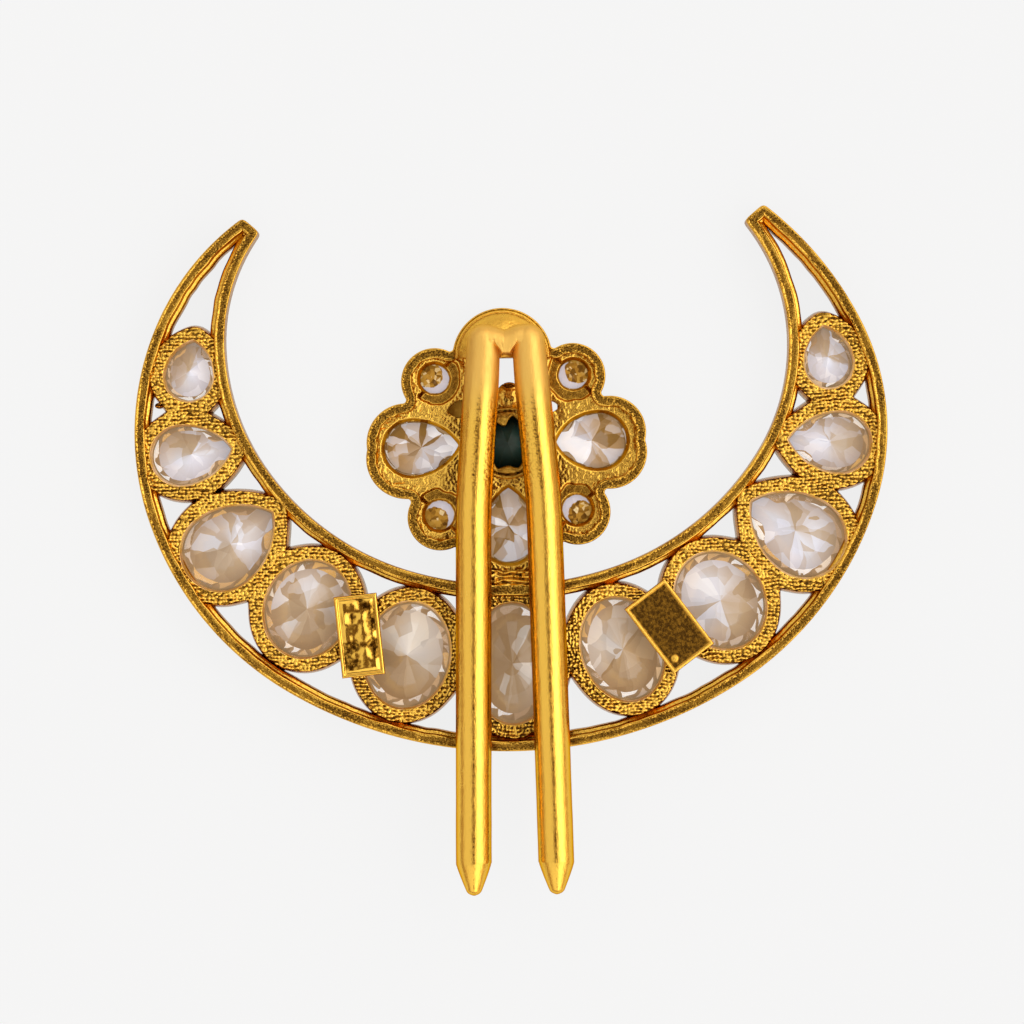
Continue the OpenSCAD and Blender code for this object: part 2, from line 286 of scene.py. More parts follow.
def even(points, step):
    """The closed line through the points, cut into equal steps of about this length."""
    closed = np.vstack([points, points[:1]])
    run = np.append(0, np.cumsum(np.linalg.norm(np.diff(closed, axis=0), axis=1)))
    at = np.linspace(0, run[-1], max(16, round(run[-1] / step)), endpoint=False)
    return np.column_stack([np.interp(at, run, closed[:, 0]), np.interp(at, run, closed[:, 1])])


def eased(points, passes):
    """The closed line with each point moved towards its neighbours' mean, so that its corners are
    rounded."""
    for _ in range(passes):
        points = (np.roll(points, 1, 0) + 2 * points + np.roll(points, -1, 0)) / 4
    return points


def outward(points):
    """Unit normals of a counter-clockwise line: its direction turned a quarter to the right."""
    way = np.roll(points, -1, 0) - np.roll(points, 1, 0)
    way /= np.linalg.norm(way, axis=1, keepdims=True)
    return np.column_stack([way[:, 1], -way[:, 0]])


def crescent_outline(step):
    """Outer edge from the left horn down and up to the right horn, then the inner edge back."""
    flip = np.array([-1, 1])
    outer_right = arc_chain(OUTER_RIGHT, OUTER_BOTTOM)
    outer_left = arc_chain(OUTER_LEFT, OUTER_BOTTOM) * flip
    inner_right = arc_chain(INNER_RIGHT, INNER_BOTTOM)
    inner_left = arc_chain(INNER_LEFT, INNER_BOTTOM) * flip
    corners = np.vstack([outer_left[::-1], outer_right[1:], inner_right[::-1], inner_left[1:]])
    return eased(even(corners, step), 8)


def mid_point():
    """The crescent's own frame at the middle of the whole brooch in plan."""
    line = crescent_outline(0.1)
    return np.array([(line[:, 0].max() + line[:, 0].min()) / 2, (line[:, 1].max() + PIN_TIP) / 2])


MIDDLE = mid_point()


def lobed_outline(lobes, notch, step):
    """The outline of circles that overlap in turn. A small circle outside touches each pair, and the outline
    runs along a lobe from one touching point to the next, then round the small circle the other way."""
    lobes = np.array(lobes)
    middles, radii = lobes[:, :2], lobes[:, 2]
    after, after_r = np.roll(middles, -1, 0), np.roll(radii, -1)
    apart = after - middles
    gap = np.linalg.norm(apart, axis=1)
    a, b = radii + notch, after_r + notch
    along = (gap ** 2 + a ** 2 - b ** 2) / (2 * gap)
    up = np.sqrt(a ** 2 - along ** 2)
    unit = apart / gap[:, None]
    side = np.column_stack([unit[:, 1], -unit[:, 0]])
    corners = middles + along[:, None] * unit + up[:, None] * side
    line = []
    fine = step / 8
    for i in range(len(lobes)):
        into, out = corners[i - 1] - middles[i], corners[i] - middles[i]
        start, end = math.atan2(into[1], into[0]), math.atan2(out[1], out[0])
        end += 2 * math.pi * (end < start)
        turns = np.linspace(start, end, int(radii[i] * (end - start) / fine) + 2)[:, None]
        line.append(middles[i] + radii[i] * np.hstack([np.cos(turns), np.sin(turns)]))
        back, on = middles[i] - corners[i], after[i] - corners[i]
        start, end = math.atan2(back[1], back[0]), math.atan2(on[1], on[0])
        end -= 2 * math.pi * (end > start)
        turns = np.linspace(start, end, int(notch * (start - end) / fine) + 3)[1:-1, None]
        line.append(corners[i] + notch * np.hstack([np.cos(turns), np.sin(turns)]))
    return even(np.vstack(line), step)


def pear_sides(length, width):
    """The middle of a pear's round end on its axis, and the radius of its two side arcs."""
    r = width / 2
    return r - length / 2, ((length - r) ** 2 + r * r) / width


def seat_points(seat, count):
    """An oval is its half length and half width times (cos a, sin a). A pear is half a circle, closed by two
    arcs of one radius that meet at its point. Both are turned and placed."""
    form, x, y, length, width, turn = seat
    if form == "oval":
        a = np.arange(count) * 2 * math.pi / count
        points = np.column_stack([length / 2 * np.cos(a), width / 2 * np.sin(a)])
    else:
        r = width / 2
        middle, side_r = pear_sides(length, width)
        sweep = math.atan2(length - r, side_r - r)
        quarter = count // 4
        back = np.linspace(0.5, 1.5, 2 * quarter + 1)[:-1] * math.pi
        side = np.linspace(0, sweep, quarter + 1)[:-1]
        lower = np.column_stack([middle + side_r * np.sin(side), side_r - r - side_r * np.cos(side)])
        half = np.column_stack([middle + r * np.cos(back), r * np.sin(back)])
        side = np.linspace(sweep, 0, quarter + 1)[:-1]
        upper = np.column_stack([middle + side_r * np.sin(side), r - side_r + side_r * np.cos(side)])
        points = np.vstack([half, lower, upper])
    a = math.radians(turn)
    return points @ np.array([[math.cos(a), math.sin(a)], [-math.sin(a), math.cos(a)]]) + [x, y]


def seat_outline(seat, step):
    """A seat's outline in equal steps, its point rounded a little."""
    return eased(even(seat_points(seat, 256), step), 3)


def seat_depth(seat, x, y):
    """How far points lie inside a seat's outline, below zero outside it. In a pear it is the distance to
    the half circle or to the nearer side arc. In an oval, with k the length of (x / a, y / b), it is k (1
    - k) over the length of (x / a^2, y / b^2)."""
    form, mx, my, length, width, turn = seat
    a = math.radians(turn)
    u = (x - mx) * math.cos(a) + (y - my) * math.sin(a)
    v = (y - my) * math.cos(a) - (x - mx) * math.sin(a)
    r = width / 2
    if form == "oval":
        k = np.hypot(u / (length / 2), v / r)
        slope = np.hypot(u / (length / 2) ** 2, v / r ** 2)
        return k * (1 - k) / np.maximum(slope, 1e-9)
    middle, side_r = pear_sides(length, width)
    round_end = r - np.hypot(u - middle, v)
    sides = side_r - np.hypot(u - middle, np.abs(v) + side_r - r)
    return np.where(u < middle, round_end, sides)


def room_to(points, directions, others, least=1e-6):
    """How far each point can move before it is as near to one of the others: with d the step to that one,
    |d|^2 / (2 d.n), the least over those whose d.n is above `least`."""
    step = others[None] - points[:, None]
    ahead = np.einsum("ijk,ik->ij", step, directions)
    square = np.einsum("ijk,ijk->ij", step, step)
    return np.where(ahead > least, square / np.maximum(2 * ahead, 1e-9), 1e3).min(1)


def room_before(points, directions, others, clear):
    """How far each point can move before it comes within `clear` of the others: with d the step to one, it
    is d.n minus the root of clear^2 - (|d|^2 - (d.n)^2), the least over those that it passes."""
    step = others[None] - points[:, None]
    ahead = np.einsum("ijk,ik->ij", step, directions)
    aside = np.einsum("ijk,ijk->ij", step, step) - ahead ** 2
    passes = (ahead > 0) & (aside < clear ** 2)
    reach = ahead - np.sqrt(np.maximum(clear ** 2 - aside, 0))
    return np.where(passes, reach, 1e3).min(1)


# Patterns of the casting, as functions of the place in plan

LATTICE = 64


def smooth_step(low, high, t):
    """0 at low and beyond, 1 at high and beyond and 3 t^2 - 2 t^3 between, rising or falling."""
    t = np.clip((t - low) / (high - low), 0, 1)
    return t * t * (3 - 2 * t)


def soft_noise(x, y, size, seed):
    """Random heights from 0 to 1 on a square lattice, blended between with 3 t^2 - 2 t^3."""
    table = np.random.default_rng(seed).random((LATTICE, LATTICE))
    u, v = np.asarray(x) / size, np.asarray(y) / size
    i, j = np.floor(u).astype(int), np.floor(v).astype(int)
    s, t = u - i, v - j
    s, t = s * s * (3 - 2 * s), t * t * (3 - 2 * t)
    i0, i1, j0, j1 = i % LATTICE, (i + 1) % LATTICE, j % LATTICE, (j + 1) % LATTICE
    low = table[i0, j0] * (1 - s) + table[i1, j0] * s
    high = table[i0, j1] * (1 - s) + table[i1, j1] * s
    return low * (1 - t) + high * t


def grains(x, y, size, seed):
    """Rounded grains: one point stands at random in each square of a lattice, and the height is 1 less the
    distance to the nearest of them in squares, squared."""
    rng = np.random.default_rng(seed)
    px, py = rng.random((2, LATTICE, LATTICE)) * 0.8 + 0.1
    u, v = np.asarray(x) / size, np.asarray(y) / size
    i, j = np.floor(u).astype(int), np.floor(v).astype(int)
    nearest = np.full(np.shape(u), 9.0)
    for di in (-1, 0, 1):
        for dj in (-1, 0, 1):
            a, b = (i + di) % LATTICE, (j + dj) % LATTICE
            nearest = np.minimum(nearest, (i + di + px[a, b] - u) ** 2 + (j + dj + py[a, b] - v) ** 2)
    return 1 - np.minimum(nearest, 1)


def cast_rows(x, y):
    """Height of the casting's rows, about 0 to 1: 0.48 of a ridge along X, plus 0.5 of lumps, plus 0.25 of
    soft noise. A ridge is half of 1 + cos(2 pi row), where row is y over the pitch, bent by soft noise,
    and the lumps are the tops of grains."""
    pitch = sizes().ridge_pitch / MM
    row = y / pitch + 0.9 * soft_noise(x, y, 1.3, 3) + 0.6 * soft_noise(x, y, 0.45, 4)
    ridge = 0.5 + 0.5 * np.cos(2 * math.pi * row)
    lumps = smooth_step(0.6, 1.0, grains(x, y * 1.15, 0.25, 5))
    return 0.48 * ridge + 0.5 * lumps + 0.25 * soft_noise(x, y, 0.8, 6)


# Meshes

def make_piece(name, points, faces, materials, node, face_material=None, smooth=True, hollow=None):
    """A mesh object from points in millimetres in the crescent's frame and a list of arrays of faces, turned
    the right way out by the sign of its volume, that rides on the frame and stands for a node.
    `hollow` says how dark each point is painted, 0 to 1, for dirt and painted shade."""
    points = np.reshape(points, (-1, 3)) - [*MIDDLE, 0]
    fans = np.vstack([f[:, [0, i, i + 1]] for f in faces for i in range(1, f.shape[1] - 1)])
    corners = points[fans]
    volume = np.einsum("ij,ij->i", corners[:, 0], np.cross(corners[:, 1], corners[:, 2])).sum()
    if volume < 0:
        faces = [f[:, ::-1] for f in faces]
    mesh = bpy.data.meshes.new(name)
    loops = np.concatenate([f.ravel() for f in faces])
    totals = np.concatenate([np.full(len(f), f.shape[1]) for f in faces])
    mesh.vertices.add(len(points))
    mesh.vertices.foreach_set("co", (points * MM).astype(np.float32).ravel())
    mesh.loops.add(len(loops))
    mesh.loops.foreach_set("vertex_index", loops.astype(np.int32))
    mesh.polygons.add(len(totals))
    mesh.polygons.foreach_set("loop_start", np.append(0, np.cumsum(totals)[:-1]).astype(np.int32))
    if face_material is not None:
        mesh.polygons.foreach_set("material_index", face_material.astype(np.int32))
    mesh.polygons.foreach_set("use_smooth", np.full(len(totals), smooth))
    mesh.update(calc_edges=True)
    if hollow is not None:
        put_values(mesh, "hollow", "FLOAT", "value", hollow)
    mesh.validate()
    for material in materials:
        mesh.materials.append(FINISHES[material])
    piece = bpy.data.objects.new(name, mesh)
    bpy.context.scene.collection.objects.link(piece)
    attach(piece, "root")
    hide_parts(node)
    return piece


def make_gilt(name, points, faces, materials, hollow=None, face_material=None):
    """A piece of the soldered metal."""
    return make_piece(name, points, faces, materials, "setting", face_material, hollow=hollow)


def put_values(mesh, key, kind, field, values):
    """An attribute with a value for each point."""
    attribute = mesh.attributes.new(key, kind, "POINT")
    attribute.data.foreach_set(field, np.asarray(values, np.float32).ravel())


def grid_faces(rows, columns, wrap_rows=False, wrap_columns=False):
    """The four-cornered faces between neighbouring points of a grid, whose rows or columns may close up."""
    index = np.arange(rows * columns).reshape(rows, columns)
    low = index if wrap_rows else index[:-1]
    high = np.roll(index, -1, 0) if wrap_rows else index[1:]
    ends = slice(None) if wrap_columns else slice(None, -1)
    return np.column_stack([
        low[:, ends].ravel(), high[:, ends].ravel(),
        np.roll(high, -1, 1)[:, ends].ravel(), np.roll(low, -1, 1)[:, ends].ravel(),
    ])


def loop_faces(grid):
    """A closed loop's faces: a profile that closes up, carried along a line that closes up."""
    return [grid_faces(*grid.shape[:2], True, True)]


def tube_faces(grid, ends_in=False):
    """A tube's faces: rings that follow each other, with one many-cornered face at each end. The end faces
    look outward, or inward with ends_in."""
    rings, sides = grid.shape[:2]
    first = np.arange(sides)[None, ::-1 if ends_in else 1]
    return [grid_faces(rings, sides, False, True), first, (rings - 1) * sides + first[:, ::-1]]


def slab_faces(quads, count):
    """A slab's faces: its back, its front `count` points further on, and a wall along each side of a quad
    that no other quad shares."""
    sides = np.vstack([quads[:, [i, (i + 1) % 4]] for i in range(4)])
    there, back = sides @ [count, 1], sides @ [1, count]
    edge = sides[~np.isin(there, back)]
    walls = np.column_stack([edge[:, 1], edge[:, 0], edge[:, 0] + count, edge[:, 1] + count])
    return [np.vstack([quads, quads[:, ::-1] + count, walls])]


def carried(line, normals, offsets, heights):
    """A profile carried along a line: each point is the line's, moved along its normal by the offset, at the
    height. Offsets and heights hold a row for each point of the line."""
    return np.dstack([line[:, None] + normals[:, None] * offsets[..., None], heights])


def band_profile(width, top, edge, dip):
    """The outer side and the top of a band, as rows of offset and height: a quarter circle at each edge, and
    between them a strip that lies `dip` below the top."""
    arc = np.radians(np.linspace(0, 90, 5))
    outer_edge = [(edge * (1 - math.cos(a)), top - edge * (1 - math.sin(a))) for a in arc]
    inner_edge = [(width - edge * (1 - math.sin(a)), top - edge * (1 - math.cos(a))) for a in arc]
    strip = [(d, top - dip) for d in np.linspace(edge + 0.04, width - edge - 0.04, 6)]
    return [(0, 0), (0, top / 2), (0, top - edge - 0.05), *outer_edge, *strip, *inner_edge]


def strip_shade_zone(offsets, width):
    """1 on the flat strip between a band's rounded edges, where painted shade darkens it, 0 on those."""
    return smooth_step(0.04, 0.12, offsets) * smooth_step(width - 0.04, width - 0.12, offsets)


# Shader nodes written as formulas

class Value:
    """A node's output. Its operators add Math nodes, so a pattern reads as a formula."""

    def __init__(self, finish, socket):
        self.finish = finish
        self.socket = socket

    def math(self, operation, *others):
        """A Math node of this value and others."""
        return self.finish.node("ShaderNodeMath", {"operation": operation}, dict(enumerate((self, *others))))

    def __add__(self, other):
        return self.math("ADD", other)

    def __sub__(self, other):
        return self.math("SUBTRACT", other)

    def __rsub__(self, other):
        return self.finish.node("ShaderNodeMath", {"operation": "SUBTRACT"}, {0: other, 1: self})

    def __mul__(self, other):
        return self.math("MULTIPLY", other)

    def __truediv__(self, other):
        return self.math("DIVIDE", other)

    def __pow__(self, other):
        return self.math("POWER", other)

    __radd__ = __add__
    __rmul__ = __mul__


class Finish:
    """The nodes of one material or world."""

    def __init__(self, owner):
        self.owner = owner
        owner.use_nodes = True
        self.tree = owner.node_tree
        self.tree.nodes.clear()

    def node(self, kind, settings=None, inputs=None, output=0):
        """Any node: its settings are set first, then its inputs take numbers, colours or links."""
        made = self.tree.nodes.new(kind)
        for key, value in (settings or {}).items():
            setattr(made, key, value)
        for key, value in (inputs or {}).items():
            if isinstance(value, Value):
                self.tree.links.new(value.socket, made.inputs[key])
            else:
                made.inputs[key].default_value = value
        return Value(self, made.outputs[output])

    def attribute(self, key, output="Vector"):
        """A value that the mesh holds for each point."""
        return self.node("ShaderNodeAttribute", {"attribute_name": key}, output=output)

    def place(self):
        """The place on the object, in metres."""
        return self.node("ShaderNodeTexCoord", output="Object")

    def part(self, vector, axis):
        """One coordinate of a vector: 0, 1 or 2."""
        return self.node("ShaderNodeSeparateXYZ", None, {0: vector}, output=axis)

    def join(self, *parts):
        """A vector from its coordinates."""
        return self.node("ShaderNodeCombineXYZ", None, dict(enumerate(parts)))

    def noise(self, scale, detail=3, roughness=0.55, stretch=(1, 1, 1)):
        """Noise at so many waves to a millimetre, stretched along axes."""
        waves = [s * scale / MM for s in stretch]
        spot = self.node("ShaderNodeMapping", None, {"Vector": self.place(), "Scale": waves})
        return self.node("ShaderNodeTexNoise", None, {
            "Vector": spot, "Scale": 1.0, "Detail": detail, "Roughness": roughness})

    def ramp(self, value, low, high, to_low=0.0, to_high=1.0):
        """The value carried from one range to another with a smooth step."""
        return self.node("ShaderNodeMapRange", {"interpolation_type": "SMOOTHSTEP"}, {
            "Value": value, "From Min": low, "From Max": high, "To Min": to_low, "To Max": to_high})

    def stops(self, value, rows):
        """The value turned into a colour by a ramp, whose rows hold a place from 0 to 1 and a colour."""
        made = self.node("ShaderNodeValToRGB", None, {0: value})
        elements = made.socket.node.color_ramp.elements
        while len(elements) < len(rows):
            elements.new(0.5)
        for element, (place, colour) in zip(elements, rows):
            element.position = place
            element.color = (*colour, 1)
        return made

    def mix(self, factor, a, b, blend="MIX"):
        """Two colours mixed by a factor."""
        a, b = (v if isinstance(v, Value) else (*v, 1) for v in (a, b))
        settings = {"data_type": "RGBA", "blend_type": blend}
        return self.node("ShaderNodeMix", settings, {0: factor, 6: a, 7: b}, output=2)

    def vector(self, operation, a, b):
        """Vector Math of two vectors, or of one and a number when it scales."""
        second = 3 if operation == "SCALE" else 1
        return self.node("ShaderNodeVectorMath", {"operation": operation}, {0: a, second: b})

    def bump(self, height, depth):
        """A Bump node for a height of 0 to 1 over a depth in millimetres."""
        return self.node("ShaderNodeBump", None, {"Height": height, "Distance": depth * MM, "Strength": 1.0})

    def principled(self, inputs):
        """The material, with the Principled shader on its output."""
        return self.finish(self.node("ShaderNodeBsdfPrincipled", None, inputs))

    def gem(self, colour, clearness):
        """A cut stone's material, with a painted glow in its own colour."""
        return self.principled({
            "Base Color": self.mix(0.7, (0, 0, 0), colour), "Roughness": 0.08, "IOR": 1.5,
            "Transmission Weight": clearness, "Emission Color": colour, "Emission Strength": PAINTED_GLOW})

    def finish(self, shader, target="ShaderNodeOutputMaterial"):
        """The material or world, with a shader on its output."""
        end = self.tree.nodes.new(target)
        self.tree.links.new(shader.socket, end.inputs["Surface"])
        return self.owner


def gold_material(name, roughness, bump_depth, bump_scale, stretch=(1, 1, 1), side_shade_from=0.0, side_shade_to=0.6,
                  head=False, dirt_rough=0.0, speckle=0.35, dirt_scale=3.8):
    """Gilding: bright where the surface faces the back, with painted shade that makes it deeper and more
    orange on its sides and brown beneath; darker in its hollows by the hollow attribute, partly dirt and
    partly painted shade, mottled by noise, with fine marks in its roughness and normal. `head` adds the
    rubbed head of the hairpin."""
    f = Finish(bpy.data.materials.new(name))
    c = colours()
    # Painted shade: the gilding turns to deep gold, and brown on undersides, as the surface turns away from
    # the back
    facing = f.part(f.node("ShaderNodeNewGeometry", output="Normal"), 2)
    marks = f.noise(bump_scale, 4, 0.6, stretch)
    bright = f.ramp(facing + (f.noise(1.3, 4) - 0.5) * 0.35, side_shade_from, side_shade_to)
    side = f.mix(f.ramp(facing, -0.1, 0.12), c.dirt_and_shade_brown, c.side_shade_gold)
    colour = f.mix(bright, side, c.gold)
    spots = f.ramp(f.noise(dirt_scale, 2), 0.38, 0.62, 0.9 - speckle, 0.9 + speckle)
    # Dirt and painted shade: the attribute, broken by spots, darkens the gilding to amber and then brown
    dark = f.attribute("hollow", "Fac") * spots
    colour = f.mix(dark * 1.6, colour, c.dirt_and_shade_amber)
    colour = f.mix(dark * 1.5 - 0.5, colour, c.dirt_and_shade_brown)
    rough = f.ramp(marks, 0.3, 0.7, roughness * 0.8, roughness * 1.25) + dark * dirt_rough
    if head:
        rubbed = f.ramp(f.part(f.place(), 1), (1.5 - MIDDLE[1]) * MM, (6.0 - MIDDLE[1]) * MM)
        rough = rough + rubbed * 0.3
        colour = f.mix(rubbed * 0.9, colour, c.worn)
    return f.principled({
        "Base Color": colour, "Metallic": 1.0, "Roughness": rough, "Normal": f.bump(marks, bump_depth),
        "Specular Tint": (*c.side_shade_gold, 1)})


def peach_material():
    """The smooth seat wall: gilding painted with a peach reflection of the stone beside it."""
    f = Finish(bpy.data.materials.new("seat_wall"))
    colour = f.mix(f.ramp(f.noise(1.6, 3), 0.35, 0.65), colours().painted_reflection_peach, colours().gold)
    return f.principled({
        "Base Color": colour, "Metallic": 1.0, "Roughness": 0.3, "Normal": f.bump(f.noise(5.0, 3), 0.02)})


def stone_material(name, clearness, wedge, contrast, body_edge, ring_inner, stops, patches, ring):
    """A milky cut stone, whose pattern is painted reflection: a paler side, light and dark facets, a ring of
    white and orange triangles and a tan band at the girdle stand for the floor and the gold cup seen through
    it and reflected in it. Its pattern lies in two attributes. "gem" holds (share cos a, share sin a, seed),
    with the share 1 at the girdle and the angle a from the paler side; "tip" holds the same from a pear's
    point, and 1 for a pear. Sectors are cells of the unit direction, facets are cells of the place. The cut
    is contrast times (sector - 1/2) plus 0.32 (facet - 1/2).
    With w the warmth, the tone is 0.26 cos a + (1 + 0.9 w) cut + 0.64 - 0.40 w. Outside the body lies a ring
    of triangles, whose point is 2 |fract(t) - 1/2| of the angle t."""
    f = Finish(bpy.data.materials.new(name))
    gem, tip = f.attribute("gem"), f.attribute("tip")
    x, y, seed = (f.part(gem, i) for i in range(3))
    to_tip, pear = f.part(tip, 0), f.part(tip, 2)
    warmth = f.attribute("warmth", "Fac")
    share = (x * x + y * y) ** 0.5
    bend = f.node("ShaderNodeTexNoise", None, {"Vector": gem, "Scale": 2.2, "Detail": 2.0})
    shift = f.join(bend * 0.5, seed, seed * 1.7)
    flat = f.vector("SCALE", f.join(x / share, y / share, share * 0.5), wedge)
    sector = f.node("ShaderNodeTexVoronoi", None, {
        "Vector": f.vector("ADD", flat, shift), "Scale": 1.0}, output="Color")
    facet = f.node("ShaderNodeTexVoronoi", {"feature": "SMOOTH_F1"}, {
        "Vector": f.vector("ADD", f.vector("SCALE", gem, 2.6), shift), "Scale": 1.0, "Smoothness": 0.05},
        output="Color")
    cut = (f.part(sector, 0) - 0.5) * contrast + (f.part(facet, 0) - 0.5) * 0.32
    # Painted reflection: a paler side and light and dark facets
    tone = x / share * 0.26 + cut * (warmth * 0.9 + 1.0) + 0.64 - warmth * 0.40
    colour = f.mix(warmth, f.stops(tone, stops), colours().warm, "MULTIPLY")

    # Painted reflection: outside the body, a ring of white, orange and tan triangles
    tip_cos = to_tip / share
    beside = f.ramp(tip_cos, 0.55, 0.8) * f.ramp(tip_cos, 0.97, 0.9)
    body = body_edge + (bend - 0.5) * 0.1 + pear * (f.ramp(tip_cos, 0.93, 0.985) * 0.25 - beside * 0.1)
    depth = (share - body) / (0.95 - body_edge)
    turn = y.math("ARCTAN2", x) * (3.3 - pear * 1.4) + bend * 2.5 + seed + depth * 0.4
    step = turn.math("FLOOR")
    point = (turn - step - 0.5).math("ABSOLUTE") * 2.0
    chance = f.node("ShaderNodeTexWhiteNoise", {"noise_dimensions": "2D"}, {
        "Vector": f.join(step, seed)}, output="Color")
    first, second, third = (f.part(chance, i) for i in range(3))
    between = f.mix(second, ring_inner, [v * 0.75 for v in ring_inner])
    outward_one = f.ramp(depth + point, 1.04, 0.96)
    inward_one = f.ramp(depth - point, -0.04, 0.04)
    chosen = f.ramp(third, 0.49, 0.51)
    triangle = outward_one * (1.0 - chosen) + inward_one * chosen
    zone = f.mix(triangle, between, f.stops(first, patches))
    colour = f.mix(f.ramp(share - body, 0.0, 0.012), colour, zone)
    # Painted reflection of the gold cup: a tan band at the girdle
    edge = f.mix(f.ramp(bend, 0.35, 0.65), [v * 0.75 for v in ring], ring)
    return f.gem(f.mix(f.ramp(share + (bend - 0.5) * 0.05, 0.94, 0.955), colour, edge), clearness)


def round_material():
    """A small round stone, painted with the gold seen through it and a pale sickle of painted reflection on
    its side towards the flower's middle, where the point lies within 0.86 of the centre and further than 0.8
    from (-0.42, 0)."""
    f = Finish(bpy.data.materials.new("round_stone"))
    gem = f.attribute("gem")
    x, y = f.part(gem, 0), f.part(gem, 1)
    bend = f.node("ShaderNodeTexNoise", None, {"Vector": gem, "Scale": 3.0, "Detail": 3.0})
    share = (x * x + y * y) ** 0.5
    far = ((x + 0.42) * (x + 0.42) + y * y) ** 0.5 + (bend - 0.5) * 0.3
    sickle = f.ramp(share + (bend - 0.5) * 0.1, 0.88, 0.84) * f.ramp(far, 0.78, 0.83)
    cell = f.node("ShaderNodeTexVoronoi", None, {"Vector": gem, "Scale": 4.5}, output="Color")
    gold = f.stops(f.part(cell, 0), [
        (0.0, (0.12, 0.05, 0.008)), (0.4, (0.40, 0.19, 0.025)),
        (0.8, (0.55, 0.30, 0.05)), (1.0, (0.85, 0.66, 0.35))])
    colour = f.mix(sickle, gold, (0.68, 0.64, 0.70))
    # Painted reflection of the seat: a brown band round the edge
    return f.gem(f.mix(f.ramp(share, 0.88, 0.92), colour, (0.30, 0.13, 0.02)), 0.1)


def green_material():
    """The dark green stone, mottled by noise."""
    f = Finish(bpy.data.materials.new("green_stone"))
    colour = f.mix(f.ramp(f.noise(0.8, 4), 0.35, 0.7), colours().green, (0.020, 0.066, 0.053))
    return f.principled({"Base Color": colour, "Roughness": 0.3, "IOR": 1.35})


def make_finishes():
    """Every material of the brooch, by the short name that its pieces use."""
    c = colours()
    # The stones' tones, patches and rings paint the reflections seen in them: pale and tan facets, white and
    # orange triangles and a tan band at the girdle
    clear_tones = [
        (0.0, (0.33, 0.235, 0.15)), (0.3, c.tan), (0.5, (0.47, 0.40, 0.36)),
        (0.68, (0.55, 0.54, 0.58)), (0.85, c.pale), (1.0, (0.72, 0.72, 0.78))]
    clear_patches = [
        (0.0, (0.42, 0.27, 0.14)), (0.25, (0.52, 0.38, 0.26)), (0.45, (0.95, 0.95, 0.95)),
        (0.62, (0.95, 0.95, 0.93)), (0.75, (0.75, 0.45, 0.14)), (1.0, (0.58, 0.42, 0.28))]
    petal_tones = [
        (0.1, (0.22, 0.12, 0.035)), (0.38, (0.38, 0.24, 0.12)), (0.55, (0.46, 0.34, 0.24)),
        (0.7, (0.55, 0.49, 0.48)), (0.85, (0.58, 0.57, 0.63)), (1.0, (0.9, 0.9, 0.95))]
    petal_patches = [
        (0.0, (0.25, 0.14, 0.05)), (0.5, (0.50, 0.34, 0.18)),
        (0.8, (0.80, 0.76, 0.72)), (1.0, (0.50, 0.30, 0.08))]
    FINISHES.update({
        "band": gold_material("band_gold", 0.12, 0.02, 4.0, dirt_rough=0.32, speckle=0.45, dirt_scale=8.0),
        "cast": gold_material("cast_gold", 0.13, 0.035, 5.0, speckle=0.25),
        "grain": gold_material("grain_gold", 0.22, 0.02, 5.0, side_shade_from=0.1, side_shade_to=1.2, speckle=0.2),
        "dome": gold_material("dome_gold", 0.32, 0.08, 2.4),
        "satin": gold_material("satin_gold", 0.45, 0.012, 6.0, speckle=0.2),
        "prong": gold_material("prong_gold", 0.22, 0.02, 6.0, (1, 0.25, 1), -0.1, 0.5, head=True),
        "tag_bright": gold_material("bright_plate", 0.14, 0.02, 2.0),
        "tag_brown": gold_material("brown_plate", 0.3, 0.03, 8.0, speckle=0.12),
        "painted_reflection_peach": peach_material(),
        "clear": stone_material("clear_stone", 0.1, 0.95, 0.46, 0.82, (0.42, 0.28, 0.155),
                                clear_tones, clear_patches, (0.46, 0.29, 0.14)),
        "petal": stone_material("petal_stone", 0.15, 1.3, 0.8, 0.90, (0.25, 0.13, 0.04),
                                petal_tones, petal_patches, (0.30, 0.15, 0.03)),
        "round": round_material(),
        "green": green_material(),
    })


